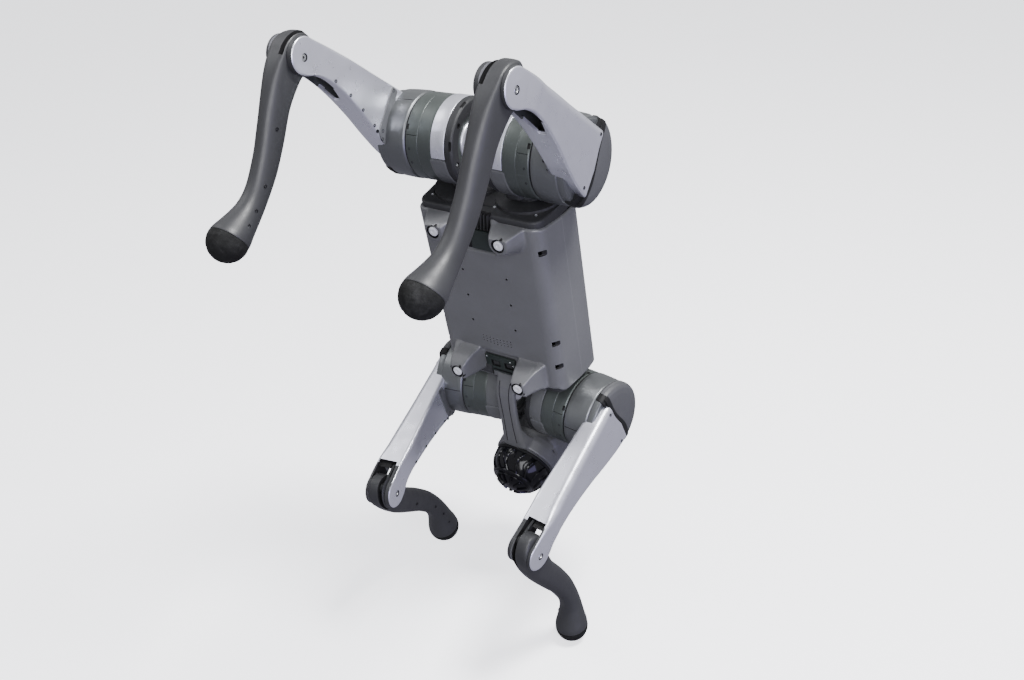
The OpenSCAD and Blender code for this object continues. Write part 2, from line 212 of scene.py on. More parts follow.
def fillet(P, r, seg=6, closed=True):
    """Rounds the corners of a 2D polyline. r is one radius or one per point."""
    P = [np.array(p, float) for p in P]
    n = len(P)
    rs = r if hasattr(r, "__len__") else [r] * n
    out = []
    for i in range(n):
        if not closed and i in (0, n - 1) or rs[i] <= 0:
            out.append(P[i]); continue
        a, b, c = P[i - 1], P[i], P[(i + 1) % n]
        u, v = a - b, c - b
        lu, lv = np.linalg.norm(u), np.linalg.norm(v)
        u, v = u / lu, v / lv
        ang = math.acos(max(-1, min(1, float(u @ v))))
        if ang > math.pi - 0.02:
            out.append(b); continue
        d = min(rs[i] / math.tan(ang / 2), lu * 0.49, lv * 0.49)
        rr = d * math.tan(ang / 2)
        bis = (u + v) / np.linalg.norm(u + v)
        cen = b + bis * rr / math.sin(ang / 2)
        p0, p1 = b + u * d, b + v * d
        a0 = math.atan2(*(p0 - cen)[::-1]); a1 = math.atan2(*(p1 - cen)[::-1])
        da = (a1 - a0 + math.pi) % (2 * math.pi) - math.pi
        for k in range(seg + 1):
            th = a0 + da * k / seg
            out.append(cen + rr * np.array([math.cos(th), math.sin(th)]))
    return np.array(out)


def resample(P, step, closed=False):
    P = np.asarray(P, float)
    if closed:
        P = np.vstack([P, P[:1]])
    d = np.r_[0, np.cumsum(np.linalg.norm(np.diff(P, axis=0), axis=1))]
    n = max(3, int(round(d[-1] / step)))
    t = np.linspace(0, d[-1], n + 1)
    Qp = np.stack([np.interp(t, d, P[:, i]) for i in range(P.shape[1])], 1)
    return Qp[:-1] if closed else Qp


def inset(P, d):
    """Moves each point of a closed, anticlockwise or clockwise outline inward by d."""
    P = np.asarray(P, float)
    area = 0.5 * np.sum(P[:, 0] * np.roll(P[:, 1], -1) - np.roll(P[:, 0], -1) * P[:, 1])
    s = 1 if area > 0 else -1
    e = np.roll(P, -1, 0) - P
    e /= np.maximum(np.linalg.norm(e, axis=1), 1e-9)[:, None]
    n1 = np.stack([-e[:, 1], e[:, 0]], 1) * s
    n0 = np.roll(n1, 1, 0)
    m = n0 + n1
    l2 = np.maximum((m * m).sum(1), 0.6)
    return P + d * 2 * m / l2[:, None]


def slab(outline, y0, y1, r=1.0, seg=3, plane="xz"):
    """A thick outline with rounded rims. plane says which two axes the outline lies in."""
    rings = []
    for k in range(seg + 1):
        th = math.pi / 2 * k / seg
        rings.append((inset(outline, r * (1 - math.sin(th))), y0 + r * (1 - math.cos(th))))
    for k in range(seg + 1):
        th = math.pi / 2 * (1 - k / seg)
        rings.append((inset(outline, r * (1 - math.sin(th))), y1 - r * (1 - math.cos(th))))
    out = []
    for P, y in rings:
        if plane == "xz":
            out.append(np.stack([P[:, 0], np.full(len(P), y), P[:, 1]], 1))
        elif plane == "xy":
            out.append(np.stack([P[:, 0], P[:, 1], np.full(len(P), y)], 1))
        else:
            out.append(np.stack([np.full(len(P), y), P[:, 0], P[:, 1]], 1))
    return loft(out)


def loft(rings, cap0=True, cap1=True):
    rings = [np.asarray(r, float) for r in rings]
    n = len(rings[0])
    V = np.concatenate(rings)
    F = []
    for i in range(len(rings) - 1):
        a, b = i * n, (i + 1) * n
        for j in range(n):
            k = (j + 1) % n
            F.append((a + j, a + k, b + k, b + j))
    if cap0:
        F.append(tuple(range(n - 1, -1, -1)))
    if cap1:
        F.append(tuple((len(rings) - 1) * n + j for j in range(n)))
    # outward faces: the signed volume is positive
    vol = 0.0
    for f in F:
        p0 = V[f[0]]
        for i in range(1, len(f) - 1):
            vol += float(np.dot(p0, np.cross(V[f[i]], V[f[i + 1]])))
    if vol < 0:
        F = [tuple(reversed(f)) for f in F]
    return V, F


def lathe(profile, n=96, axis="y"):
    """Turns a profile of (radius, place) about an axis. Ends with radius 0 close the solid, otherwise the profile is a closed loop."""
    closed = profile[0][0] > 1e-6 or profile[-1][0] > 1e-6
    V, F, rows = [], [], []
    for r, y in profile:
        if r < 1e-6:
            rows.append([len(V)]); V.append((0, y, 0))
        else:
            row = []
            for j in range(n):
                a = 2 * math.pi * j / n
                row.append(len(V)); V.append((r * math.cos(a), y, r * math.sin(a)))
            rows.append(row)
    seq = list(zip(rows, rows[1:]))
    if closed:
        seq.append((rows[-1], rows[0]))
    for a, b in seq:
        for j in range(n):
            k = (j + 1) % n
            if len(a) == 1 and len(b) == 1: continue
            if len(a) == 1: F.append((a[0], b[j], b[k]))
            elif len(b) == 1: F.append((a[j], b[0], a[k]))
            else: F.append((a[j], b[j], b[k], a[k]))
    V = np.array(V, float)
    vol = 0.0
    for f in F:
        for i in range(1, len(f) - 1):
            vol += float(np.dot(V[f[0]], np.cross(V[f[i]], V[f[i + 1]])))
    if vol < 0:
        F = [tuple(reversed(f)) for f in F]
    if axis == "z":
        V = V[:, [2, 0, 1]]
    elif axis == "x":
        V = V[:, [1, 2, 0]]
    return V, F


def prof(P, r=0.8, seg=3):
    """Rounds the inner corners of a lathe profile."""
    rs = [0 if (i in (0, len(P) - 1) and P[i][0] < 1e-6) else (r if not hasattr(r, "__len__") else r[i]) for i in range(len(P))]
    closed = P[0][0] > 1e-6 or P[-1][0] > 1e-6
    return [tuple(p) for p in fillet(P, rs, seg, closed)]


def tube(path, r, n=10):
    """A round bar along a path of 3D points, with flat ends."""
    P = np.asarray(path, float)
    t = np.gradient(P, axis=0)
    t /= np.linalg.norm(t, axis=1)[:, None]
    up = np.array([0.13, 0.31, 0.94])
    rings = []
    for p, d in zip(P, t):
        a = np.cross(d, up); a /= np.linalg.norm(a)
        b = np.cross(d, a)
        rings.append([p + r * (math.cos(2 * math.pi * j / n) * a + math.sin(2 * math.pi * j / n) * b) for j in range(n)])
    return loft(rings)


def rect(w, h, r, cx=0, cy=0, seg=5):
    return fillet([(cx - w / 2, cy - h / 2), (cx + w / 2, cy - h / 2), (cx + w / 2, cy + h / 2), (cx - w / 2, cy + h / 2)], r, seg)


def face_to(p, n):
    """A matrix whose +Z is n, at p."""
    n = Vector(n).normalized()
    q = n.to_track_quat("Z", "Y")
    return Matrix.Translation(p) @ q.to_matrix().to_4x4()


# ------------------------------------------------------------------ materials
def material(name, base, rough, metal=0.0, var=0.12, grain=900, bump=0.08, dust=0.0, coat=0.0, wear=0.0, blot=14, coatr=0.15, bdist=0.0004, spec=0.5, aniso=None):
    m = bpy.data.materials.new(name)
    m.use_nodes = True
    nt = m.node_tree
    N, L = nt.nodes, nt.links
    b = N["Principled BSDF"]
    b.inputs["Metallic"].default_value = metal
    b.inputs["Coat Weight"].default_value = coat
    b.inputs["Coat Roughness"].default_value = coatr
    b.inputs["Specular IOR Level"].default_value = spec
    tc = N.new("ShaderNodeTexCoord")
    n1 = N.new("ShaderNodeTexNoise"); n1.inputs["Scale"].default_value = blot; n1.inputs["Detail"].default_value = 6
    n2 = N.new("ShaderNodeTexNoise"); n2.inputs["Scale"].default_value = grain; n2.inputs["Detail"].default_value = 2
    n3 = N.new("ShaderNodeTexNoise"); n3.inputs["Scale"].default_value = 60; n3.inputs["Detail"].default_value = 8; n3.inputs["Roughness"].default_value = 0.7
    for n in (n1, n2, n3):
        L.new(tc.outputs["Object"], n.inputs["Vector"])
    if aniso:
        mp = N.new("ShaderNodeMapping"); mp.inputs["Scale"].default_value = aniso
        L.new(tc.outputs["Object"], mp.inputs["Vector"]); L.new(mp.outputs["Vector"], n2.inputs["Vector"])
    # colour: blotches, then fine grain
    ramp = N.new("ShaderNodeValToRGB")
    lo = [c * (1 - var) for c in base]; hi = [min(1, c * (1 + var)) for c in base]
    ramp.color_ramp.elements[0].position, ramp.color_ramp.elements[1].position = 0.3, 0.7
    ramp.color_ramp.elements[0].color = (*lo, 1); ramp.color_ramp.elements[1].color = (*hi, 1)
    L.new(n1.outputs["Fac"], ramp.inputs["Fac"])
    mixg = N.new("ShaderNodeMix"); mixg.data_type = "RGBA"; mixg.blend_type = "MULTIPLY"; mixg.inputs["Factor"].default_value = 0.35
    g2 = N.new("ShaderNodeValToRGB"); g2.color_ramp.elements[0].position, g2.color_ramp.elements[1].position = 0.25, 0.75
    g2.color_ramp.elements[0].color = (0.72, 0.72, 0.72, 1); g2.color_ramp.elements[1].color = (1.0, 1.0, 1.0, 1)
    L.new(n2.outputs["Fac"], g2.inputs["Fac"])
    L.new(ramp.outputs["Color"], mixg.inputs["A"]); L.new(g2.outputs["Color"], mixg.inputs["B"])
    col = mixg.outputs["Result"]
    if wear > 0:
        ge = N.new("ShaderNodeNewGeometry")
        wr = N.new("ShaderNodeMapRange"); wr.inputs["From Min"].default_value = 0.53; wr.inputs["From Max"].default_value = 0.62; wr.inputs["To Max"].default_value = wear
        L.new(ge.outputs["Pointiness"], wr.inputs["Value"])
        ml = N.new("ShaderNodeMath"); ml.operation = "MULTIPLY"
        L.new(wr.outputs["Result"], ml.inputs[0]); L.new(n3.outputs["Fac"], ml.inputs[1])
        mw = N.new("ShaderNodeMix"); mw.data_type = "RGBA"
        mw.inputs["B"].default_value = (*[min(1, c * 1.7 + 0.05) for c in base], 1)
        L.new(ml.outputs["Value"], mw.inputs["Factor"]); L.new(col, mw.inputs["A"])
        col = mw.outputs["Result"]
    if dust > 0:
        md = N.new("ShaderNodeMix"); md.data_type = "RGBA"
        dr = N.new("ShaderNodeMapRange"); dr.inputs["From Min"].default_value = 0.5; dr.inputs["From Max"].default_value = 0.8; dr.inputs["To Max"].default_value = dust
        L.new(n3.outputs["Fac"], dr.inputs["Value"]); L.new(dr.outputs["Result"], md.inputs["Factor"])
        L.new(col, md.inputs["A"]); md.inputs["B"].default_value = (0.45, 0.45, 0.46, 1)
        col = md.outputs["Result"]
    L.new(col, b.inputs["Base Color"])
    rr = N.new("ShaderNodeMapRange"); rr.inputs["To Min"].default_value = max(0.03, rough - 0.07); rr.inputs["To Max"].default_value = rough + 0.09
    rr.inputs["From Min"].default_value, rr.inputs["From Max"].default_value = 0.3, 0.7
    L.new(n3.outputs["Fac"], rr.inputs["Value"]); L.new(rr.outputs["Result"], b.inputs["Roughness"])
    bp = N.new("ShaderNodeBump"); bp.inputs["Strength"].default_value = bump; bp.inputs["Distance"].default_value = bdist
    L.new(n2.outputs["Fac"], bp.inputs["Height"]); L.new(bp.outputs["Normal"], b.inputs["Normal"])
    m.diffuse_color = (*base, 1)
    return m


M_SHELL = material("shell_grey", (0.120,0.122,0.127), 0.44, metal=0.30, var=0.07, grain=1500, bump=0.10, wear=0.5, coat=0.08, coatr=0.35)
M_DARK = material("dark_frame", (0.018,0.0185,0.020), 0.55, var=0.15, grain=1300, bump=0.22, wear=0.35, spec=0.35)
M_PLAST = material("dark_plastic", (0.056,0.057,0.061), 0.50, var=0.10, grain=1400, bump=0.22, wear=0.4, spec=0.35)
M_LEG = material("leg_plastic", (0.024,0.0245,0.0265), 0.46, var=0.08, grain=1500, bump=0.15, wear=0.3, coat=0.04, coatr=0.4, spec=0.4)
# The lilac cast in this silver's base colour is painted light, standing in for the tint of the lilac lamp.
M_SILVER = material("silver_paint", (0.70,0.705,0.775), 0.31, metal=0.8, var=0.03, grain=1800, bump=0.012, wear=0.0, coat=0.15, coatr=0.3)
M_HUB = material("hub_metal", (0.155, 0.162, 0.166), 0.36, metal=0.8, var=0.05, grain=1700, bump=0.02, wear=0.1)
M_MOTOR = material("motor_green", (0.072, 0.082, 0.078), 0.38, metal=0.55, var=0.08, grain=1500, bump=0.08, wear=0.4)
M_PANEL = material("hip_panel", (0.095, 0.098, 0.102), 0.42, metal=0.25, var=0.07, grain=1500, bump=0.1, wear=0.4)
M_GLOSS = material("gloss_black", (0.004,0.004,0.005), 0.12, var=0.2, grain=500, bump=0.01, coat=0.1, coatr=0.04, spec=0.22)
M_BLACK = material("black_matte", (0.006,0.006,0.0065), 0.62, var=0.2, grain=1200, bump=0.15, spec=0.25)
M_WHITE = material("white_pad", (0.6, 0.61, 0.64), 0.45, var=0.05, grain=900, bump=0.15, dust=0.25)
M_LINK = material("dark_link", (0.030, 0.031, 0.033), 0.38, metal=0.8, var=0.08, grain=900, bump=0.08)
M_STEEL = material("turned_steel", (0.52, 0.53, 0.54), 0.28, metal=1.0, var=0.06, grain=420, bump=0.06, aniso=(1, 18, 1))
M_SCREW = material("black_screw", (0.014, 0.014, 0.016), 0.34, metal=0.7, var=0.2, grain=900, bump=0.1)
M_RUBBER = material("foot_rubber", (0.006,0.0062,0.0062), 0.80, var=0.5, grain=700, bump=0.6, dust=0.05, blot=90, bdist=0.0008, spec=0.18)
M_BOARD = material("circuit_board", (0.02, 0.09, 0.05), 0.45, var=0.15, grain=800, bump=0.1)
M_GREEN = material("green_panel", (0.016,0.022,0.020), 0.45, var=0.15, grain=900, bump=0.1, spec=0.3)

# ------------------------------------------------------------------ camera, light and floor
cam_data = bpy.data.cameras.new("camera")
cam_data.sensor_width, cam_data.lens = 36.0, 36.0 * 1048.66 / 1024
cam_data.clip_start, cam_data.clip_end = 0.02, 60
cam = bpy.data.objects.new("camera", cam_data)
bpy.context.scene.collection.objects.link(cam)
rt = Vector((0.83405, 0.54922, -0.05215)); dn = Vector((0.23231, -0.43536, -0.86977)); fw = Vector((-0.50039, 0.71331, -0.49070))
cam.matrix_world = Matrix(((rt.x, -dn.x, -fw.x, 0.69931), (rt.y, -dn.y, -fw.y, -0.87839), (rt.z, -dn.z, -fw.z, 1.09980), (0, 0, 0, 1)))
bpy.context.scene.camera = cam

world = bpy.data.worlds.new("studio")
bpy.context.scene.world = world
world.use_nodes = True
world.node_tree.nodes["Background"].inputs["Color"].default_value = (0.93, 0.94, 1.0, 1)
world.node_tree.nodes["Background"].inputs["Strength"].default_value = 0.62
wt = world.node_tree
w_co = wt.nodes.new("ShaderNodeTexCoord"); w_sep = wt.nodes.new("ShaderNodeSeparateXYZ"); w_map = wt.nodes.new("ShaderNodeMapRange"); w_mix = wt.nodes.new("ShaderNodeMix")
w_mix.data_type = "RGBA"
w_map.interpolation_type = "SMOOTHSTEP"
w_map.inputs["From Min"].default_value, w_map.inputs["From Max"].default_value = -0.45, 0.35
w_mix.inputs["A"].default_value, w_mix.inputs["B"].default_value = (0.52, 0.51, 0.61, 1), (0.95, 0.96, 1.0, 1)
wt.links.new(w_co.outputs["Generated"], w_sep.inputs["Vector"])
wt.links.new(w_sep.outputs["Z"], w_map.inputs["Value"])
wt.links.new(w_map.outputs["Result"], w_mix.inputs["Factor"])
wt.links.new(w_mix.outputs["Result"], wt.nodes["Background"].inputs["Color"])


def area(name, loc, target, size, power, color=(1, 1, 1)):
    d = bpy.data.lights.new(name, "AREA")
    d.shape, d.size, d.size_y, d.energy, d.color = "RECTANGLE", size[0], size[1], power, color
    o = bpy.data.objects.new(name, d)
    bpy.context.scene.collection.objects.link(o)
    o.location = loc
    o.rotation_mode = "QUATERNION"
    o.rotation_quaternion = (Vector(target) - Vector(loc)).to_track_quat("-Z", "Y")
    return o


area("key", (1.0, 0.35, 2.8), (0, 0.05, 0.45), (0.7, 0.7), 150)
area("fill", (-1.7, -0.4, 2.4), (0, 0, 0.5), (1.2, 1.0), 14, (0.98, 0.98, 1.0))
area("front", (1.5, -1.7, 1.5), (0, 0, 0.45), (1.6, 1.6), 72, (0.96, 0.96, 1.0))
area("lilac", (2.0, -0.7, 0.45), (0, 0, 0.4), (1.3, 0.9), 16, (0.55, 0.50, 1.0))

fl_mat = bpy.data.materials.new("floor")
fl_mat.use_nodes = True
fb = fl_mat.node_tree.nodes["Principled BSDF"]
fb.inputs["Base Color"].default_value = (0.92, 0.92, 0.94, 1)
fb.inputs["Roughness"].default_value = 0.55
fb.inputs["Emission Color"].default_value = (0.96, 0.965, 1.0, 1)
fb.inputs["Emission Strength"].default_value = 1.5
fV = [(-9, -9, 0), (9, -9, 0), (9, 9, 0), (-9, 9, 0)]
fme = bpy.data.meshes.new("floor"); fme.from_pydata(fV, [], [(0, 1, 2, 3)]); fme.materials.append(fl_mat)
floor = bpy.data.objects.new("floor", fme)
bpy.context.scene.collection.objects.link(floor)
floor.visible_diffuse = False
floor.visible_glossy = False


# ------------------------------------------------------------------ screws
def screw(p, n, r=1.9, M=None, depth=1.2, mat=None):
    """A dark socket screw, a little proud of the surface, with its round socket hole."""
    P = prof([(0, -0.6), (r, -0.6), (r, depth * 0.45), (r * 0.92, depth * 0.55), (r * 0.55, depth * 0.55), (r * 0.5, -0.2), (0, -0.25)], 0.12, 2)
    V, F = lathe(P, 20, "z")
    return make("screw", V, F, (M or Matrix.Identity(4)) @ face_to(p, n), mat or M_SCREW)


def dark_disc(p, n, r, M, mat=None, h=0.25):
    V, F = lathe([(0, -0.5), (r, -0.5), (r, h * 0.6), (r * 0.9, h), (0, h)], 20, "z")
    return make("disc", V, F, M @ face_to(p, n), mat or M_BLACK)


def prism(P, y0, y1, M=None, plane="xz", mat=None):
    """A plain cutter."""
    P = np.asarray(P, float)
    rings = []
    for y in (y0, y1):
        c = np.full(len(P), y)
        rings.append(np.stack([P[:, 0], c, P[:, 1]], 1) if plane == "xz" else np.stack([P[:, 0], P[:, 1], c], 1) if plane == "xy" else np.stack([c, P[:, 0], P[:, 1]], 1))
    V, F = loft(rings)
    return make("cutter", V, F, M, mat)


def cyl(r, h0, h1, M=None, axis="y", n=64, mat=None):
    V, F = lathe([(0, h0), (r, h0), (r, h1), (0, h1)], n, axis)
    return make("cutter", V, F, M, mat)


# ------------------------------------------------------------------ trunk shells
def smin(arrs, k):
    """A soft minimum of several arrays."""
    a = np.stack(arrs)
    return -k * np.log(np.exp(-a / k).sum(0))


def sstep(a, b, x):
    t = np.clip((x - a) / (b - a), 0, 1)
    return t * t * (3 - 2 * t)


def belly_height(x, y):
    """How far the belly face stands out (positive) or is sunk."""
    ay = np.abs(y)
    # sunk field at the head end
    edge = 81.5 + 1.6 * np.cos(y / 22)
    field = 6.0 * sstep(-1.0, 5.5, x - edge) * sstep(70.5, 65, ay)
    h = -field
    # tall wedges at the head end
    rise = np.minimum((x - 82) * 7.5, 20 + (x - 84.7) * 1.9)
    b = smin([rise, (119.5 - x) * 5.5, (71 - ay) * 2.75, (ay - 30.5) * 5.2, np.full_like(x, 36.4)], 0.9)
    h = np.where(b > 0, np.maximum(b, h), h)
    # low round bosses at the tail end
    dx = np.where(x > -109, x + 109, (x + 109) * 0.35)
    dist = np.sqrt(dx ** 2 + (ay - 47.5) ** 2)
    b = smin([(23.5 - dist) * 2.3, (x + 122.5) * 6, np.full_like(x, 24.3)], 1.2)
    h = np.where(b > 0, np.maximum(b, h), h)
    # seat of the port panel and of the vent
    port = sstep(0, 1.4, x - 94.0) * sstep(0, 1.4, 123.5 - x) * sstep(0, 1.4, y + 19.5) * sstep(0, 1.4, 30.2 - y)
    h = h * (1 - port) + (-9.5) * port
    vent = sstep(0, 1.4, -76 - x) * sstep(0, 1.6, y + 23) * sstep(0, 1.6, 24 - y)
    h = h * (1 - vent) + (-5.0) * vent
    return h


def shell(name, sec, step, xr, xf, height=None, thick=2.4, mat=None, lip=3.2):
    P = resample(sec, step)
    nu = len(P)
    near = np.array([0, 0.25, 0.6, 1.1, 1.7, 2.4, 3.2]) / 262
    v = np.unique(np.r_[near, np.linspace(3.2 / 262, 1 - 3.2 / 262, int(262 / step)), 1 - near])
    nv = len(v)
    y, z = P[:, 0], P[:, 1]
    x0, x1 = xr(y, z), xf(y, z)
    X = x0[:, None] + (x1 - x0)[:, None] * v[None, :]
    Y = np.repeat(y[:, None], nv, 1)
    Z = np.repeat(z[:, None], nv, 1)
    if height is not None:
        H = height(X, Y) * sstep(-50, -56.5, Z)
        for _ in range(2):
            H[1:-1, 1:-1] = (H[1:-1, 1:-1] * 2 + H[:-2, 1:-1] + H[2:, 1:-1] + H[1:-1, :-2] + H[1:-1, 2:]) / 6
        Z = Z - H
    # the rims curl inward
    t = np.gradient(P, axis=0)
    t /= np.linalg.norm(t, axis=1)[:, None]
    n = np.stack([-t[:, 1], t[:, 0]], 1)
    n *= np.where((n * P).sum(1) > 0, -1, 1)[:, None]
    for D in (X - x0[:, None], x1[:, None] - X):
        q = np.clip(lip - D, 0, lip)
        d = lip - np.sqrt(np.maximum(lip * lip - q * q, 0))
        Y = Y + n[:, 0][:, None] * d
        Z = Z + n[:, 1][:, None] * d
    V = np.stack([X, Y, Z], 2).reshape(-1, 3)
    F = [(i * nv + j, i * nv + j + 1, (i + 1) * nv + j + 1, (i + 1) * nv + j) for i in range(nu - 1) for j in range(nv - 1)]
    # outward: the middle face points away from the axis
    f = F[(nu // 2) * (nv - 1) + nv // 2]
    nrm = np.cross(V[f[1]] - V[f[0]], V[f[2]] - V[f[1]])
    if nrm[2] * V[f[0]][2] < 0:
        F = [tuple(reversed(f)) for f in F]
    o = make(name, V, F, STAND, mat)
    m = o.modifiers.new("s", "SOLIDIFY")
    m.thickness, m.offset, m.use_even_offset = thick * 0.001, -1, False
    return bake(o, 40)


def front_edge(y, z):
    a = np.interp(np.abs(y), [0, 59, 67, 84, 90], [133.4, 133.4, 121, 121, 126])
    return np.where(z > -44, np.interp(z, [-44, -9], [126, 129.5]), a)


def rear_edge(y, z):
    a = np.interp(np.abs(y), [0, 27, 34, 84, 90], [-125.6, -125.6, -122.8, -122.8, -121])
    return np.where(z > -44, np.interp(z, [-44, -9], [-121, -116.5]), a)


low = fillet([(-93.5, -9), (-91.5, -57), (91.5, -57), (93.5, -9)], [0, 19, 19, 0], 10, closed=False)
step = 1.25
belly = shell("belly_shell", low, step, rear_edge, front_edge, belly_height, 2.4, M_SHELL)
cuts = []
for i in (-1, 0, 1):
    for s in (1, -1):
        cuts.append(cyl(1.65, -70, -45, STAND @ T(i * 39.5 - 3, s * 33, 0), "z", 24))
for x in (-89, 47, 84):
    for s in (1, -1):
        M = STAND @ T(x, s * 87.5, -50) @ R(-s * 52, "X")
        cuts.append(prism(rect(7.6, 4.0, 1.9), -5, 9, M, "xy"))
for s in (1, -1):
    for px, pz in ((102, 92.5), (-109, 80)):
        cuts.append(cyl(8.9, -pz - 6, -pz + 1.2, STAND @ T(px, s * 47.5, 0), "z", 48))
# rows of small round holes over the speaker
for a in range(-4, 5):
    for b in range(3):
        cuts.append(cyl(0.75, -64, -50, STAND @ T(59 + b * 4.0 + 0.5 * (4 - abs(a)), a * 5.4, 0), "z", 10))
for c in cuts:
    c.data.materials.append(M_BLACK)
c0 = join("cuts", cuts)
boolean(belly, [c0], sharp=38)

high = fillet([(93.5, -9), (91, 29), (61, 57), (-61, 57), (-91, 29), (-93.5, -9)], [0, 12, 15, 15, 12, 0], 8, closed=False)


def back_front(y, z):
    return np.interp(z, [-9, 10, 57], [129.5, 133, 133.4])


def back_rear(y, z):
    return np.interp(z, [-9, 29, 57], [-116.5, -112, -122])


def back_height(x, y):
    return x * 0


backs = shell("back_shell", high, 2.0, back_rear, back_front, None, 2.4, M_SHELL)
bc = [prism(rect(142.6, 35.6, 3, -5, 9.9), 66, 110, STAND, "xz")]
# long shallow grooves and screw seats in the back
for s in (1, -1):
    bc.append(prism(rect(196, 5.0, 2.4, 0, s * 27), 55.6, 60, STAND, "xy"))
bc.append(prism(rect(120, 30, 8, 0, 0), 56.2, 60, STAND, "xy"))
for x in (-108, 108):
    for s in (1, -1):
        bc.append(cyl(3.0, 55.2, 60, STAND @ T(x, s * 44, 0), "z", 24))
boolean(backs, [join("cuts2", bc)], sharp=38)
parts = [backs]
for x in (-108, 108):
    for s in (1, -1):
        parts.append(screw((x, s * 44, 55.0), (0, 0, 1), 2.4, STAND))
backs = join("back_shell", parts)
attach(backs, "trunk"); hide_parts("back_cover")
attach(belly, "trunk"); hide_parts("belly_cover")

# crease strip where the two shells meet
strip = []
for s in (1, -1):
    V, F = slab(rect(206, 1.0, 0.4, 4, -9), s * 90.4 if s > 0 else -93.3, s * 93.3 if s > 0 else -90.4, 0.2, 2, "xz")
    strip.append(make("seam", V, F, STAND, M_BLACK))
seam = join("trunk_seam", strip)
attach(seam, "trunk")

# pads: white discs on dark seats with four small dark tabs
pads = []
for s in (1, -1):
    for px, pz in ((102, 92.5), (-109, 80)):
        M = STAND @ T(px, s * 47.5, -pz) @ R(180, "X")
        V, F = lathe(prof([(0, -3.9), (8.4, -3.9), (8.4, -1.2), (0, -1.2)], 0.4, 2), 40, "z")
        pads.append(make("seat", V, F, M, M_BLACK))
        V, F = lathe(prof([(0, -1.6), (6.3, -1.6), (6.3, 0.7), (4.9, 1.45), (2.2, 1.45), (1.6, 0.6), (0, 0.6)], 0.35, 3), 40, "z")
        pads.append(make("pad", V, F, M, M_WHITE))
        for a in (45, 135, 225, 315):
            Ma = M @ R(a + 12, "Z") @ T(9.9, 0, 0)
            V, F = slab(rect(3.6, 4.2, 1.2), -3.0, 0.7, 0.35, 2, "xy")
            pads.append(make("tab", V, F, Ma, M_BLACK))
pads = join("pad_set", pads)
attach(pads, "trunk"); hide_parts("belly_pads")

# port panel
pp = []
V, F = slab(rect(27.0, 47.6, 3.0, 109.0, 5.4), -52.6, -46.5, 0.9, 3, "xy")
panel = make("panel", V, F, STAND, M_GREEN)
pc = [prism(rect(10, 14, 1.2, 108, -8), -60, -50.4, STAND, "xy", M_BLACK), prism(rect(10, 14, 1.2, 108, 13), -60, -50.4, STAND, "xy", M_BLACK), prism(rect(2.6, 30, 1.0, 118.3, 4), -60, -51.7, STAND, "xy", M_BLACK)]
boolean(panel, [join("cuts3", pc)])
pp.append(panel)
for y in (-8, 13):
    V, F = slab(rect(5.4, 9, 0.8, 108, y), -51.6, -50.2, 0.3, 2, "xy")
    pp.append(make("plug_face", V, F, STAND, M_DARK))
for x, y in ((99, 26.3), (99.5, -11), (104.5, -15.5), (119.5, 26.0)):
    pp.append(screw((x, y, -52.5), (0, 0, -1), 0.9, STAND, mat=M_WHITE))
pp = join("port_panel_detail", pp)
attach(pp, "trunk"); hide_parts("port_panel")

# vent at the tail end: a dark floor, slanting fins and a small panel
vg = []
V, F = slab(rect(57.0, 46.0, 2.0, -104.5, 0.5), -53.4, -50.5, 0.5, 2, "xy")
vg.append(make("floor_v", V, F, STAND, M_BLACK))
V, F = slab(rect(27, 33, 2.0, -92.5, -5.5), -56.6, -53.0, 0.7, 3, "xy")
vg.append(make("panel_v", V, F, STAND, M_GREEN))
for k in range(9):
    y = -20 + k * 5.0
    P = [(-131, y - 1.0), (-109, y + 2.0), (-109, y + 3.6), (-131, y + 0.6)]
    V, F = slab(fillet(P, 0.5, 2), -57.2, -53.2, 0.4, 2, "xy")
    vg.append(make("fin", V, F, STAND, M_DARK))
vg = join("vent_detail", vg)
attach(vg, "trunk"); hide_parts("vent_grille")

# dark end pieces that close the trunk round the hip motors
full = fillet([(-90.4, -9), (-88.5, -53.5), (88.5, -53.5), (90.4, -9), (88, 27.5), (58.5, 53.5), (-58.5, 53.5), (-88, 27.5)], [30, 17, 17, 30, 12, 14, 14, 12], 6)
ends = []
for xa, xb in ((112.5, 129.5), (-130.5, -113.5)):
    V, F = slab(full, xa, xb, 3.0, 4, "yz")
    e_ = make("end", V, F, STAND, M_DARK)
    ec = []
    for s in (1, -1):
        ec.append(cyl(43.2, xa - 5, xb + 5, STAND @ T(0, s * 46.5, 0), "x", 96, M_BLACK))
    ec.append(prism([(-20.5, -70), (20.5, -70), (20.5, -36), (-20.5, -36)], xa - 5, xb + 5, STAND, "yz", M_BLACK))
    boolean(e_, ec, sharp=38)
    ends.append(e_)
    xo = xb if xa > 0 else xa
    for s in (1, -1):
        for a in (0, 50, 130, 180, 230, 310):
            yy, zz = s * 46.5 + 45.8 * math.cos(math.radians(a)), 45.8 * math.sin(math.radians(a))
            if abs(yy) < 84 and abs(zz) < 47 and abs(yy) > 3:
                ends.append(screw((xo, yy, zz), (1 if xa > 0 else -1, 0, 0), 1.9, STAND, mat=M_STEEL))
ends = join("end_frames", ends)
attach(ends, "trunk")

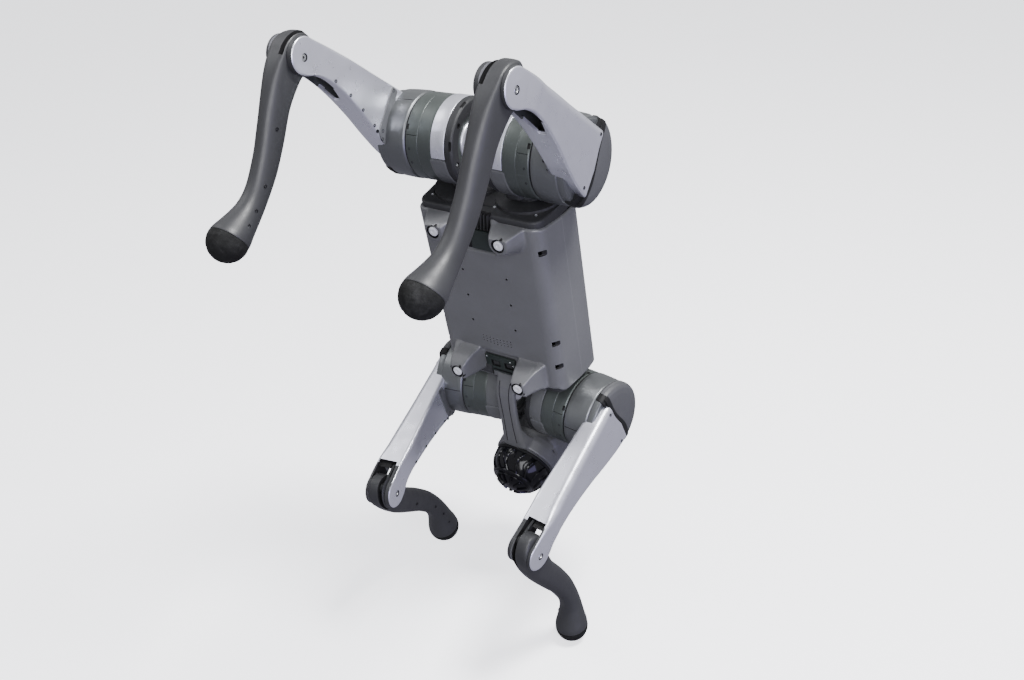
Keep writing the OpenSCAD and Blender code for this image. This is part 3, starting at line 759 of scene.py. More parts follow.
# battery: pack and door
bt = []
V, F = slab(rect(129.6, 31.4, 3.5, -5, 9.8), -63.8, 77.5, 1.2, 3, "xz")
bt.append(make("pack", V, F, STAND, M_DARK))
V, F = slab(rect(139.4, 33.2, 3.0, -5, 9.9), 76.2, 92.3, 2.2, 4, "xz")
door = make("door", V, F, STAND, M_PLAST)
dc = [prism(rect(46, 15, 5, 38, 10), 86.5, 100, STAND, "xz"), cyl(9.3, 84.0, 100, STAND @ T(-5, 0, 10), "y", 48),
      prism(rect(128, 1.0, 0.4, -5, 22), 91.7, 100, STAND, "xz")]
for k in range(5):
    dc.append(prism(rect(1.4, 20, 0.6, -62 + k * 5, 9), 91.3, 100, STAND, "xz"))
boolean(door, [join("cuts4", dc)])
bt.append(door)
bt = join("battery_pack", bt)
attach(bt, "battery"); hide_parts("battery")
V, F = lathe(prof([(0, 85.7), (8.6, 85.7), (8.6, 91.2), (6.9, 91.9), (6.3, 91.4), (0, 91.2)], 0.4, 3), 48, "y")
pb = make("power_key", V, F, STAND @ T(-5, 0, 10), M_STEEL)
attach(pb, "power_button"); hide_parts("power_button")

# ------------------------------------------------------------------ head
LC = (289.5, 0, -46.8)
DOME = STAND @ T(*LC) @ R(180 - 18, "Y")


def superring(x, w, z0, z1, n=4.0, m=72):
    cz, h = (z0 + z1) / 2, (z1 - z0) / 2
    out = []
    for j in range(m):
        a = 2 * math.pi * j / m
        ca, sa = math.cos(a), math.sin(a)
        out.append((x, w * math.copysign(abs(ca) ** (2 / n), ca), cz + h * math.copysign(abs(sa) ** (2 / n), sa)))
    return out


sk = [superring(x, w, a, b, n) for x, w, a, b, n in ((252.5, 34, -30, 32, 3), (256, 40, -36, 40, 3.2), (266, 45.5, -40, 46, 3.6), (290, 48.5, -42, 49.5, 3.8), (318, 49.5, -42, 49.5, 3.8), (328, 48.6, -40.5, 47.5, 3.8), (331.6, 46, -38, 45, 3.8))]
V, F = loft(sk)
skull = make("skull", V, F, STAND, M_SHELL)
V, F = lathe([(0, -34), (38, -34), (43.8, -27), (45.9, -18), (45.9, -2.2), (0, -2.2)], 80, "z")
col = make("collar", V, F, DOME, M_SHELL)
nk = []
for x, w, za, zb in ((124.0, 15.5, -51.5, -44), (131, 15.2, -54.6, -46), (140, 14.8, -60.5, -50), (152, 14.5, -64.4, -55), (172, 14.2, -65.8, -57.4), (194, 14.0, -65.9, -57.4), (214, 14.8, -65.9, -56), (232, 17.2, -65.6, -46), (246, 19, -64.5, -36), (262, 20, -52, -30)):
    nk.append(superring(x, w, za, zb, 5, 48))
V, F = loft(nk)
neck = make("neck", V, F, STAND, M_SHELL)
head = join("head", [skull, col, neck])
head = remesh(head, 1.15, 7, 0.5, 75)
hc = [cyl(42.6, -24, 60, DOME, "z", 96), cyl(44.4, -2.2, 60, DOME, "z", 96),
      prism([(-38.2, -24.2), (38.2, -24.2), (38.2, 4), (37.2, 31.2), (25.4, 41.6), (-25.4, 41.6), (-37.2, 31.2), (-38.2, 4)], 325.8, 345, STAND, "yz")]
# two slots beside the collar
for s in (1, -1):
    hc.append(prism(rect(9, 2.6, 1.2, 0, 0), -8, 8, STAND @ T(270, s * 45, -30) @ R(-s * 62, "X"), "xy"))
boolean(head, hc, sharp=40)
hp = [head]
# seam lines on the neck cover
for y in (-7.5, 8.5):
    hp.append(make("line", *tube([(x, y * (1 - 0.2 * math.sin(math.pi * (x - 140) / 100)), -0.1 + float(np.interp(x, [131, 140, 152, 172, 194, 214, 232], [-54.6, -60.5, -64.4, -65.8, -65.9, -65.9, -65.6]))) for x in np.linspace(134, 236, 30)], 0.5, 8), STAND, M_BLACK))
for a in (150, 174, 198, 222):
    Ms = DOME @ R(a, "Z")
    hp.append(screw((45.8, 0, -9), (1, 0, 0), 1.7, Ms))
head = join("head_casing", hp)
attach(head, "trunk"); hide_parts("head_shell")

# face panel with a lens window and a light bar
V, F = slab(fillet([(-37.6, -23.6), (37.6, -23.6), (36.8, 4), (35.8, 30.8), (24.8, 40.8), (-24.8, 40.8), (-35.8, 30.8), (-36.8, 4)], [5, 5, 30, 9, 9, 9, 9, 30], 5), 326.4, 333.8, 1.6, 4, "yz")
fp = make("face", V, F, STAND, M_GLOSS)
boolean(fp, [cyl(9.4, 320, 345, STAND @ T(0, 0, 18), "x", 64), prism(rect(58, 3.0, 1.4, 0, -12), 332.6, 345, STAND, "yz")])
V, F = slab(rect(57.4, 2.4, 1.1, 0, -12), 331.2, 333.4, 0.5, 3, "yz")
bar = make("bar", V, F, STAND, M_WHITE)
V, F = lathe(prof([(9.0, 327), (9.0, 333.6), (7.6, 334.4), (6.6, 333.4), (6.6, 327)], 0.3, 2), 56, "x")
ring = make("lens_ring", V, F, STAND @ T(0, 0, 18), M_STEEL)
V, F = lathe([(0, 326)] + [(6.4 * math.sin(a), 330.2 + 4.2 * math.cos(a)) for a in np.linspace(math.pi / 2, 0.08, 10)][::1] + [(0, 334.4)], 56, "x")
lens = make("lens", V, F, STAND @ T(0, 0, 18), M_GLOSS)
fp = join("face_window", [fp, bar])
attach(fp, "trunk"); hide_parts("face_panel")
lens = join("camera_lens", [ring, lens])
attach(lens, "trunk"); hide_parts("camera")

# scanner dome: glossy cup with curved ribs, a ring and small blocks near its top
dm = []
P = [(0, 46.2)] + [(41.0 * math.sin(a), 6 + 40.2 * math.cos(a)) for a in np.linspace(0.06, math.pi / 2, 26)] + [(41.2, 0.2), (38.2, 0.2), (37.6, 6)] + [(37.4 * math.sin(a), 6 + 37.2 * math.cos(a)) for a in np.linspace(math.pi / 2 - 0.06, 0.06, 20)] + [(0, 43.2)]
V, F = lathe(P, 96, "z")
dm.append(make("cup", V, F, DOME, M_GLOSS))


def on_dome(lon, lat, lift=0.0):
    r = 40.6 + lift
    return (r * math.cos(lat) * math.cos(lon), r * math.cos(lat) * math.sin(lon), 6 + r * math.sin(lat))


for i in range(14):
    lon0 = 2 * math.pi * i / 14
    pts = [on_dome(lon0 + 0.16 * math.sin(math.pi * t), math.radians(-2 + 44 * t), 0.5) for t in np.linspace(0, 1, 16)]
    dm.append(make("rib", *tube(pts, 2.0, 10), DOME, M_GLOSS))
    if i % 2 == 0:
        pts = [on_dome(lon0 + 0.22 + 0.12 * math.sin(math.pi * t), math.radians(6 + 26 * t), 0.2) for t in np.linspace(0, 1, 10)]
        dm.append(make("rib", *tube(pts, 1.1, 8), DOME, M_GLOSS))
for lat, rr in ((43, 2.3), (52, 1.0)):
    P = [(40.9 * math.cos(math.radians(lat)) + rr * math.cos(a), 6 + 40.9 * math.sin(math.radians(lat)) + rr * math.sin(a)) for a in np.linspace(0, 2 * math.pi, 12, endpoint=False)]
    V, F = lathe(P, 96, "z")
    dm.append(make("ring", V, F, DOME, M_GLOSS))
for i in range(10):
    lon0 = 2 * math.pi * (i + 0.5) / 10
    pts = [on_dome(lon0, math.radians(54 + 20 * t), 0.3) for t in np.linspace(0, 1, 8)]
    dm.append(make("rib", *tube(pts, 2.2, 8), DOME, M_GLOSS))
P = [(42.0, 0.3), (43.2, 0.6), (43.2, 3.4), (42.4, 4.2), (41.0, 4.4), (40.6, 0.3)]
V, F = lathe(prof(P, 0.3, 2), 96, "z")
dm.append(make("rim", V, F, DOME, M_BLACK))
dome = join("scanner_dome", dm)
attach(dome, "trunk"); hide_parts("lidar_dome")

# ------------------------------------------------------------------ legs
DR = 54.0


def hip_ring(k):
    """Hip ring: dark inner ring with screws, a band that is silver on the rear legs and grey on the front ones, and a
    grey lower panel.
    """
    e, s = ES[k]
    M = hip_m(k)
    out = []
    # dark inner ring with an opening
    P = prof([(38.6, -24.8), (51.0, -24.8), (53.4, -22.6), (53.4, -14.2), (36.0, -14.2), (36.0, -18), (38.6, -19.5)], [1.2, 1.5, 1.5, 0.3, 0.3, 0.3, 0.5], 3)
    V, F = lathe(P, 120, "y")
    ring_ = make("inner", V, F, M, M_DARK)
    cut_ = []
    for a in range(0, 360, 60):
        cut_.append(cyl(3.1, -26, -23.4, M @ R(a + 20, "Y") @ T(45.4, 0, 0), "y", 24, M_BLACK))
    for a in range(0, 360, 60):
        cut_.append(prism(rect(4, 12, 1.8, 54.0, 0), -26, -20.5, M @ R(a + 50, "Y"), "xz", M_BLACK))
    boolean(ring_, [join("c", cut_)])
    out.append(ring_)
    for a in range(0, 360, 60):
        out.append(screw((45.4 * math.cos(math.radians(a + 20)), -23.6, -45.4 * math.sin(math.radians(a + 20))), (0, -1, 0), 2.2, M, mat=M_STEEL if a % 120 else None))
    # opening: a recessed disc with a light rim and a hub
    P = prof([(0, -20.4), (8, -20.4), (9, -18.6), (12, -18.6), (13, -21.6), (22.5, -22.6), (25.6, -20.4), (26.6, -15.2), (26.6, -14), (0, -14)], [0, 0.5, 0.5, 0.5, 0.5, 3.5, 3, 0.5, 0.3, 0], 4)
    V, F = lathe(P, 96, "y")
    out.append(make("disc", V, F, M, M_SILVER))
    V, F = lathe([(26.0, -15.0), (37.0, -15.0), (37.0, -14.1), (26.0, -14.1)], 96, "y")
    out.append(make("well", V, F, M, M_BLACK))
    # a dark cable loop sits in the opening
    pts = [(31.4 * math.cos(a), -16.4, 31.4 * math.sin(a)) for a in np.linspace(math.radians(120), math.radians(330), 40)]
    out.append(make("cable", *tube(pts, 1.7, 10), M, M_BLACK))
    # band, silver on the rear legs and grey on the front ones, open where the panel sits
    P = prof([(47.0, -14.0), (53.8, -14.0), (53.8, 5.2), (47.0, 5.2)], 0.5, 3)
    V, F = lathe(P, 144, "y")
    band = make("band", V, F, M, M_SILVER if k[0] == "r" else M_PANEL)
    wedge = [(0, 0)] + [(80 * math.cos(math.radians(a)), 80 * math.sin(math.radians(a))) for a in np.linspace(-92, 62, 16)]
    boolean(band, [prism(wedge, -20, 20, M, "xz")])
    out.append(band)
    # grey panel over the other part, with rounded corners
    rings = []
    for rr in (49.0, 53.1, 53.9):
        rings.append(rr)
    A0, A1 = math.radians(-90.5), math.radians(60.5)
    outl = rect((A1 - A0) * 53.9, 22.6, 3.2, (A0 + A1) / 2 * 53.9, -3.0, 6)
    outl = resample(outl, 1.6, True)
    R_ = []
    for d, rad in ((0.9, 48.6), (0.0, 49.4), (0.0, 53.2), (0.35, 53.75), (1.2, 53.98)):
        Pp = inset(outl, d)
        R_.append([(rad * math.cos(a / 53.9), y, rad * math.sin(a / 53.9)) for a, y in Pp])
    # outer skin as a grid, so that it curves with the drum
    V, F = panel_grid(outl, A0, A1)
    out.append(make("panel", V, F, M, M_PANEL))
    # flange towards the trunk and its boss
    Mf = M @ (Matrix.Scale(-1, 4, (1, 0, 0)) if e < 0 else Matrix.Identity(4))
    P = prof([(12.3, -56.3), (18.6, -56.3), (19.0, -53.9), (19.0, -50), (12.3, -50)], 0.5, 2)
    V, F = lathe(P, 64, "x")
    fl_ = make("flange", V, F, Mf, M_HUB)
    boolean(fl_, [cyl(53.6, -30, 60, Mf, "y", 96)])
    out.append(fl_)
    V, F = slab(fillet([(-22, -24), (4.5, -24), (4.5, 24), (-22, 24)], 7, 5), -55.6, -38, 1.0, 3, "yz")
    bs = make("boss", V, F, Mf, M_DARK)
    boolean(bs, [cyl(52.5, -30, 60, Mf, "y", 96), cyl(12.4, -60, -30, Mf, "x", 48)])
    out.append(bs)
    o = join("hip_ring_" + k, out)
    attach(o, "hip_" + k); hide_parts("hip_" + k)


def panel_grid(outl, A0, A1):
    """A curved panel: a rounded rectangle wrapped on the drum, with soft rims, as a closed solid."""
    na, ny = 72, 16
    a = np.linspace(A0, A1, na); y = np.linspace(-14.1, 8.2, ny)
    AA, YY = np.meshgrid(a, y, indexing="ij")
    # rounded corners: shrink y range near the ends
    arc = 53.9
    dist = np.minimum(AA - A0, A1 - AA) * arc
    rc = 3.2
    sh = np.where(dist < rc, rc - np.sqrt(np.maximum(rc * rc - (rc - dist) ** 2, 0)), 0)
    cy, hy = -2.95, 11.15
    YY = cy + (YY - cy) * (hy - sh) / hy
    dy = np.minimum(YY - (cy - hy + sh), (cy + hy - sh) - YY)
    edge = np.clip(np.minimum(dist, dy) / 1.2, 0, 1)
    RR = 53.2 + 0.75 * np.sqrt(np.clip(1 - (1 - edge) ** 2, 0, 1))
    outer = np.stack([RR * np.cos(AA), YY, RR * np.sin(AA)], 2).reshape(-1, 3)
    inner = np.stack([48.5 * np.cos(AA), YY, 48.5 * np.sin(AA)], 2).reshape(-1, 3)
    n = na * ny
    V = np.vstack([outer, inner])
    F = []
    for i in range(na - 1):
        for j in range(ny - 1):
            p = (i * ny + j, i * ny + j + 1, (i + 1) * ny + j + 1, (i + 1) * ny + j)
            F.append(p)
            F.append(tuple(reversed([q + n for q in p])))
    for i in range(na - 1):
        for j in (0, ny - 1):
            p = (i * ny + j, (i + 1) * ny + j, (i + 1) * ny + j + n, i * ny + j + n)
            F.append(p if j == 0 else tuple(reversed(p)))
    for j in range(ny - 1):
        for i in (0, na - 1):
            p = (i * ny + j, i * ny + j + n, i * ny + j + 1 + n, i * ny + j + 1)
            F.append(p if i == 0 else tuple(reversed(p)))
    vol = 0.0
    for f in F:
        for q in range(1, len(f) - 1):
            vol += float(np.dot(V[f[0]], np.cross(V[f[q]], V[f[q + 1]])))
    if vol < 0:
        F = [tuple(reversed(f)) for f in F]
    return V, F


def thigh_motor(k):
    M = hip_m(k)
    out = []
    P = prof([(9.1, -18.6), (46.2, -18.6), (46.2, 5.6), (53.0, 5.6), (53.2, 8.6), (53.2, 24), (52.8, 24.3), (52.8, 24.7), (53.2, 25), (53.2, 40.8), (51.6, 42.3), (14.2, 42.3), (13.6, 51.2), (9.1, 51.2)], [0.5, 0.5, 0.2, 0.3, 0.3, 0.2, 0.2, 0.2, 0.2, 0.9, 0.6, 0.3, 0.3, 0.3], 2)
    V, F = lathe(P, 144, "y")
    mot = make("motor", V, F, M, M_MOTOR)
    # two seam lines and four cooling slots round the drum
    e, s = ES[k]
    cs = []
    for a in (-118, 64):
        cs.append(prism(rect(2.0, 0.8, 0.3, 53.4, 0), 25.5, 40.6, M @ R(-a, "Y"), "xz", M_BLACK))
    for a in (-128, -20, 72, 160):
        cs.append(prism(rect(3.0, 7.0, 1.2, 53.8, 0), 38.2, 44, M @ R(-a, "Y"), "xz", M_BLACK))
    cs.append(cyl(12.8, -58, -49.4, M @ (Matrix.Scale(-1, 4, (1, 0, 0)) if e < 0 else Matrix.Identity(4)), "x", 48))
    boolean(mot, [join("c", cs)])
    out.append(mot)
    # dark groove ring before the hub
    P = prof([(49.5, 41.6), (51.9, 41.6), (51.9, 43.3), (49.5, 43.3)], 0.15, 1)
    V, F = lathe(P, 144, "y")
    out.append(make("groove", V, F, M, M_BLACK))
    for a in (-100, -80, -40, 100, 140, 10):
        ar = math.radians(a)
        out.append(screw((53.0 * math.cos(ar), 36.5, 53.0 * math.sin(ar)), (math.cos(ar), 0, math.sin(ar)), 1.5, M, 0.6))
    o = join("thigh_drive_" + k, out)
    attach(o, "hip_" + k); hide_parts("thigh_motor_" + k)


# ---- blade shape: front and rear edge, inner and outer face at each height
ZF = [4, 0, -23, -50, -95, -125, -150, -172, -188, -200, -213]
XF = [40, 39.5, 36.5, 30, 17.0, 10.2, 6.5, 6.2, 10.0, 15.8, 19.0]
ZR = [4, 0, -30, -60, -100, -126, -160, -180, -200, -213]
XR = [-40, -39.8, -38, -36, -33.2, -31.6, -29, -27.2, -24.6, -23.0]


def spl(xs, ys, q):
    """A smooth curve through points, with end slopes taken from the data."""
    xs, ys = np.array(xs, float), np.array(ys, float)
    o = np.argsort(xs); xs, ys = xs[o], ys[o]
    d = np.gradient(ys, xs)
    q = np.asarray(q, float)
    i = np.clip(np.searchsorted(xs, q) - 1, 0, len(xs) - 2)
    h = xs[i + 1] - xs[i]; t = (q - xs[i]) / h
    return (2 * t ** 3 - 3 * t ** 2 + 1) * ys[i] + (t ** 3 - 2 * t ** 2 + t) * h * d[i] + (-2 * t ** 3 + 3 * t ** 2) * ys[i + 1] + (t ** 3 - t ** 2) * h * d[i + 1]


def blade_sec(z, yi, yo):
    """Rear and front edge of the blade at height z."""
    zz = max(z, -213.0)
    return float(spl(ZR, XR, zz)), float(spl(ZF, XF, zz))


def blade_ring(z, yi, yo, rf, rr):
    """Points round one section: inner face, front edge, outer face, rear edge. Each part keeps its number of points."""
    xr, xf = blade_sec(z, yi, yo)
    sg = 1.0 if yo > yi else -1.0
    hh = abs(yo - yi)
    rf, rr = min(rf, hh * 0.9), min(rr, hh * 0.9)
    P = []
    for t in np.linspace(0, 1, 8, endpoint=False): P.append((xr + (xf - xr) * t, yi))
    for t in np.linspace(0, 1, 5, endpoint=False): P.append((xf, yi + (yo - sg * rf - yi) * t))
    for a in np.linspace(0, math.pi / 2, 8, endpoint=False): P.append((xf - rf + rf * math.cos(a), yo - sg * rf + sg * rf * math.sin(a)))
    for t in np.linspace(0, 1, 12, endpoint=False): P.append((xf - rf + (xr + rr - xf + rf) * t, yo))
    for a in np.linspace(math.pi / 2, math.pi, 10, endpoint=False): P.append((xr + rr + rr * math.cos(a), yo - sg * rr + sg * rr * math.sin(a)))
    for t in np.linspace(0, 1, 5, endpoint=False): P.append((xr, yo - sg * rr + (yi - yo + sg * rr) * t))
    return [(x, y, z) for x, y in P]


def seam_z(x):
    """The wavy line where the round cap meets the thigh cover."""
    return 1.5 + 4.5 * math.sin(x / 40 * math.pi / 2) + 1.2 * math.sin(x / 12.0)


FORK_FRONT = [(-10.5, -182), (1.0, -150), (2.6, -146), (40, -146), (40, -182)]
FORK_TIP = [(-11.5, -147.5), (11.5, -147.5), (5.0, -119), (-5.0, -119)]


def knee_end(yi, yo, r, M, mat):
    """The round end of one cheek at the knee."""
    sg = 1.0 if yo > yi else -1.0
    yo += 0.04 * sg
    P = [(0, yi), (21.04, yi)] + [(21.04 - r + r * math.cos(a), yo - sg * r + sg * r * math.sin(a)) for a in np.linspace(0, math.pi / 2, 10)] + [(0, yo)]
    V, F = lathe(P, 96, "y")
    return make("knee_end", V, F, M @ T(-2, 0, -L1), mat)


def upper_leg(k):
    M = thigh_m(k)
    zs = np.r_[np.linspace(3.5, -176, 60), np.linspace(-178, -213, 22)]
    xs = np.linspace(-62, 62, 60)
    # ---- outer cover: sloping outer face, crisp front crease, soft rear one
    rings = []
    for z in zs:
        yo = float(np.interp(-z, [-4, 0, 80, 175, 240], [1.2, 1.8, 8.6, 17.8, 17.8]))
        t = float(sstep(150, 205, np.array(-z)))
        rings.append(blade_ring(z, -8.0, yo, 2.6, 10.5 + (2.6 - 10.5) * t))
    V, F = loft(rings)
    cov = make("cover", V, F, M, M_SILVER)
    # Painted shade: on the front legs the fork's cut faces are lined black to stand for the shade inside the fork; on
    # the rear legs they keep the hub metal.
    painted_fork_shade = M_BLACK if k[0] == "f" else M_HUB
    cutters = [prism([(-41, -181), (41, -181), (41, -250), (-41, -250)], -14, 13.4, M, "xz", painted_fork_shade), prism(FORK_FRONT, -14, 13.4, M, "xz", M_HUB), prism(FORK_TIP, 3.5, 40, M, "yz", M_SILVER)]
    cutters.append(prism([(x, seam_z(x)) for x in xs] + [(62, 30), (-62, 30)], -20, 30, M, "xz", M_BLACK))
    # hollow for the rod
    hol = []
    for z in np.linspace(12, -180.5, 30):
        xr, xf = blade_sec(min(z, 3), 0, 0)
        yo = float(np.interp(-z, [-12, 0, 8, 80, 170], [-4.4, -4.4, -1.5, 5, 13]))
        hol.append([(xr + 3.2, -9, z), (xf - 3.2, -9, z), (xf - 3.2, yo - 1, z), (xr + 8, yo - 1, z), (xr + 3.2, yo - 7, z)])
    V, F = loft(hol)
    cutters.append(make("hollow", V, F, M, M_HUB))
    cutters.append(cyl(4.6, 12, 25, M @ T(0, 0, -L1), "y", 40, M_BLACK))
    boolean(cov, cutters, sharp=38)
    tint(cov, M, lambda c, n: c[2] < -186 and abs(n[1]) < 0.45, M_LEG)
    end = knee_end(13.4, 17.8, 2.6, M, M_SILVER)
    boolean(end, [cyl(4.6, 16.4, 25, M @ T(0, 0, -L1), "y", 40, M_BLACK)])
    tint(end, M, lambda c, n: abs(n[1]) < 0.6, M_LEG)
    web = [(-11.0, -180.0), (-21.5, -180.0), (-21.5, -189.6), (-18.5, -187.6), (-16.0, -186.4), (-14.0, -185.7), (-12.4, -183.4)]
    out = [cov, end, prism(web, -4.3, 13.45, M, "xz", M_BLACK)]
    V, F = lathe(prof([(0, 13.6), (4.2, 13.6), (4.2, 16.9), (3.4, 17.6), (2.0, 17.6), (1.7, 16.4), (0, 16.4)], 0.25, 2), 36, "y")
    out.append(make("pin_head", V, F, M @ T(0, 0, -L1), M_STEEL))
    for x, z in ((32.0, -8.5), (-31.0, -9.5)):
        out.append(screw((x, 1.8 - 0.085 * z * 0 + 0.72, z), (0, 1, 0), 2.0, M))
    cov = join("thigh_outer_" + k, out)
    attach(cov, "upper_leg_" + k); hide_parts("thigh_cover_" + k)

    # ---- hub and inner blade
    P = prof([(14.3, -52), (51.6, -52), (53.6, -50.2), (53.9, -46), (53.4, -30), (52.6, -19), (51.4, -17.6), (44.4, -17.6), (44.4, -43.2), (14.3, -43.2)], [0.4, 0.8, 0.8, 3, 8, 1.5, 0.5, 0.3, 0.3, 0.3], 3)
    V, F = lathe(P, 144, "y")
    hub = make("hub", V, F, M, M_HUB)
    boolean(hub, [prism(rect(2.6, 0.9, 0.3, 54, 0), -49.5, -18, M @ R(a, "Y"), "xz", M_BLACK) for a in (118,)], sharp=38)
    rings = []
    for z in zs:
        rings.append(blade_ring(z, -8.0, -23.8 + float(np.interp(-z, [0, 150, 190, 240], [0, 0.6, 3.6, 3.8])), 2.2, 4.2 - 1.6 * float(sstep(160, 200, np.array(-z)))))
    V, F = loft(rings)
    inn = make("inner", V, F, M, M_SILVER)
    # Painted shade: the fork's cut faces on this inner blade are lined black to stand for the shade inside the fork.
    cutters = [prism([(-41, -181), (41, -181), (41, -250), (-41, -250)], -13.5, -3, M, "xz", M_BLACK), prism(FORK_FRONT, -13.5, -3, M, "xz", M_HUB), prism(FORK_TIP, 3.6, 40, M, "yz", M_SILVER),
               cyl(43.9, -26, 0.3, M, "y", 96, M_BLACK), cyl(4.6, -30, -12, M @ T(0, 0, -L1), "y", 40, M_BLACK)]
    ch = []
    for z in np.linspace(-0.35, -180.35, 23):
        xr, xf = blade_sec(z, 0, 0)
        ch.append([(xr + 3.2, -15.05, z), (xf - 3.2, -15.05, z), (xf - 3.2, -4.1, z), (xr + 3.2, -4.1, z)])
    V, F = loft(ch)
    cutters.append(make("hollow", V, F, M, M_HUB))
    # sunk panel on the inner face: leaves a rim for the screws
    pnl = []
    for z in np.linspace(-60, -172, 30):
        xr, xf = blade_sec(z, 0, 0)
        pnl.append((z, xr + 2.6, xf - 7.4))
    cutters.append(prism([(b, z) for z, a, b in pnl] + [(a, z) for z, a, b in reversed(pnl)], -30, -22.9, M, "xz"))
    boolean(inn, cutters, sharp=38)
    tint(inn, M, lambda c, n: c[2] < -186 and abs(n[1]) < 0.45, M_LEG)
    end = knee_end(-13.5, -20.1, 2.6, M, M_SILVER)
    boolean(end, [cyl(4.6, -30, -18.4, M @ T(0, 0, -L1), "y", 40, M_BLACK)])
    tint(end, M, lambda c, n: abs(n[1]) < 0.6, M_LEG)
    out = [hub, inn, end]
    # screws along the rim of the inner face and round the hub
    for z in (-72, -100, -128, -158):
        xr, xf = blade_sec(z, 0, 0)
        out.append(screw((xf - 3.7, -23.8 + float(np.interp(-z, [0, 150, 190], [0, 0.6, 3.6])), z), (0, -1, 0), 2.0, M))
    for x, z in ((20, -55), (29, -51), (24, -64), (-30, -58)):
        out.append(screw((x, -23.9, z), (0, -1, 0), 2.3, M))
    for a in (-60, -20, 30, 80, 130, 175, 220):
        ar = math.radians(a)
        out.append(screw((53.5 * math.cos(ar), -45.5, 53.5 * math.sin(ar)), (math.cos(ar), 0, math.sin(ar)), 1.9, M, 0.5))
    # a dark wedge between the hub and the blade
    V, F = slab(fillet([(-33, -50.5), (34, -42), (30, -53), (24, -61.5), (-34, -61.5)], [2, 3, 2, 3, 2], 3), -24.5, -22.6, 0.5, 3, "xz")
    out.append(make("wedge", V, F, M, M_PANEL))
    V, F = lathe(prof([(0, -13.8), (4.2, -13.8), (4.2, -18.4), (3.4, -19.4), (2.0, -19.4), (1.7, -18.2), (0, -18.2)], 0.25, 2), 36, "y")
    out.append(make("pin_head", V, F, M @ T(0, 0, -L1), M_STEEL))
    # filler between the hub and the outer cover
    P = prof([(44.6, -17.7), (51.4, -17.7), (50.6, -9.4), (44.6, -8.2)], 0.5, 2)
    V, F = lathe(P, 120, "y")
    fil = make("filler", V, F, M, M_HUB)
    boolean(fil, [prism([(x, seam_z(x) - 1.0) for x in xs] + [(62, 70), (-62, 70)], -20, 30, M, "xz")])
    out.append(fil)
    pts = [(49.0 * math.cos(a), 49.0 * math.sin(a)) for a in np.linspace(-math.pi, 0, 48)]
    V, F = slab(np.array(pts + [(44, 1.0), (-44, 1.0)]), -11.5, -8.0, 1.6, 3, "xz")
    sk_ = make("skirt", V, F, M, M_HUB)
    boolean(sk_, [cyl(36, -20, 10, M, "y", 64)])
    out.append(sk_)
    o = join("thigh_inner_" + k, out)
    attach(o, "upper_leg_" + k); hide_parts("thigh_" + k, "knee_pin_" + k)

    # ---- round cap over the upper part of the disc; black pieces fill the gap along its wavy edge as painted shade, standing in for the shadow inside the gap
    P = prof([(0, -17.3), (53.4, -17.3), (53.4, -10.6), (51.6, -6.4), (47.5, -4.0), (40, -2.6), (24, -1.4), (0, -0.8)], [0, 0.6, 4, 4, 5, 10, 20, 0], 5)
    V, F = lathe(P, 120, "y")
    cap = make("cap", V, F, M, M_PLAST)
    boolean(cap, [prism([(x, seam_z(x) + 5.2) for x in xs] + [(62, -70), (-62, -70)], -30, 30, M, "xz"), cyl(40.5, -18, -5.2, M, "y", 72, M_BLACK)], sharp=38)
    V, F = lathe([(53.9, -15.6), (53.9, -15.0), (52.9, -15.0), (52.9, -15.6)], 120, "y")
    boolean(cap, [make("g", V, F, M, M_BLACK)], sharp=38)
    # black filler under the cap's edge: painted shade for the shadow in the gap
    P = prof([(40.9, -16.6), (52.6, -16.6), (52.6, -11.2), (50.8, -7.4), (46.9, -5.0), (40.9, -3.8)], [0.3, 0.6, 3, 4, 5, 0.3], 4)
    V, F = lathe(P, 120, "y")
    gap = make("gap", V, F, M, M_BLACK)
    boolean(gap, [prism([(-70, -70), (70, -70), (70, -7), (-70, -7)], -30, 30, M, "xz"), prism([(-70, 70), (70, 70), (70, 14), (-70, 14)], -30, 30, M, "xz")])
    # second black filler along the wavy gap: painted shade
    gr = []
    for x in np.linspace(-50.5, 50.5, 48):
        z0, z1 = seam_z(x) - 1.0, seam_z(x) + 6.2
        yt = min(0.6, float(np.interp(math.hypot(x, z0 + 3.5), [0, 24, 40, 47.5, 51.6, 53.4], [-0.8, -1.4, -2.6, -4.0, -6.4, -10.6])) + 1.2)
        gr.append([(x, -12.0, z0), (x, yt, z0), (x, yt, z1), (x, -12.0, z1)])
    V, F = loft(gr)
    gap2 = make("gap2", V, F, M, M_BLACK)
    cap = join("round_cap_" + k, [cap, gap, gap2])
    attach(cap, "upper_leg_" + k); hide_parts("motor_cap_" + k)


# ---- lower leg: centre x, centre z, tilt, half width, half thickness, squareness
CALF = [(-0.6, 1.5, 0, 22.0, 12.6, 8.0), (-1.5, -8, 0, 21.4, 12.7, 7.0), (-2.9, -20, 0, 20.2, 12.8, 5.0), (-2.0, -35, -2, 19.6, 12.8, 3.4), (1.0, -54, -8, 18.2, 12.4, 2.7),
        (5.2, -71, -12, 17.7, 12.0, 2.5), (9.9, -89, -13, 17.2, 11.8, 2.5), (14.0, -107, -11, 16.2, 11.6, 2.5), (16.8, -125, -6, 15.6, 11.6, 2.5), (18.1, -143, -1, 14.6, 11.8, 2.4),
        (17.6, -158, 5, 14.6, 12.4, 2.3), (15.2, -172, 10, 15.6, 14.0, 2.2), (11.2, -184, 13, 17.4, 16.6, 2.1), (6.8, -195, 14, 19.8, 19.6, 2.0), (3.1, -204, 14, 22.0, 22.0, 2.0), (1.2, -208.8, 14, 22.6, 22.6, 2.0)]
KNOB = [(-0.6, 1.5, 0, 22.0, 12.6, 8.0), (-0.2, 8, 0, 21.0, 12.6, 8.0), (0.4, 15, 0, 18.6, 12.5, 6.5), (1.0, 21, 0, 15.0, 12.1, 4.8), (1.4, 25.5, 0, 10.8, 11.2, 3.4), (1.6, 28.4, 0, 6.6, 9.8, 3.0), (1.7, 29.8, 0, 2.8, 8.2, 2.6)]


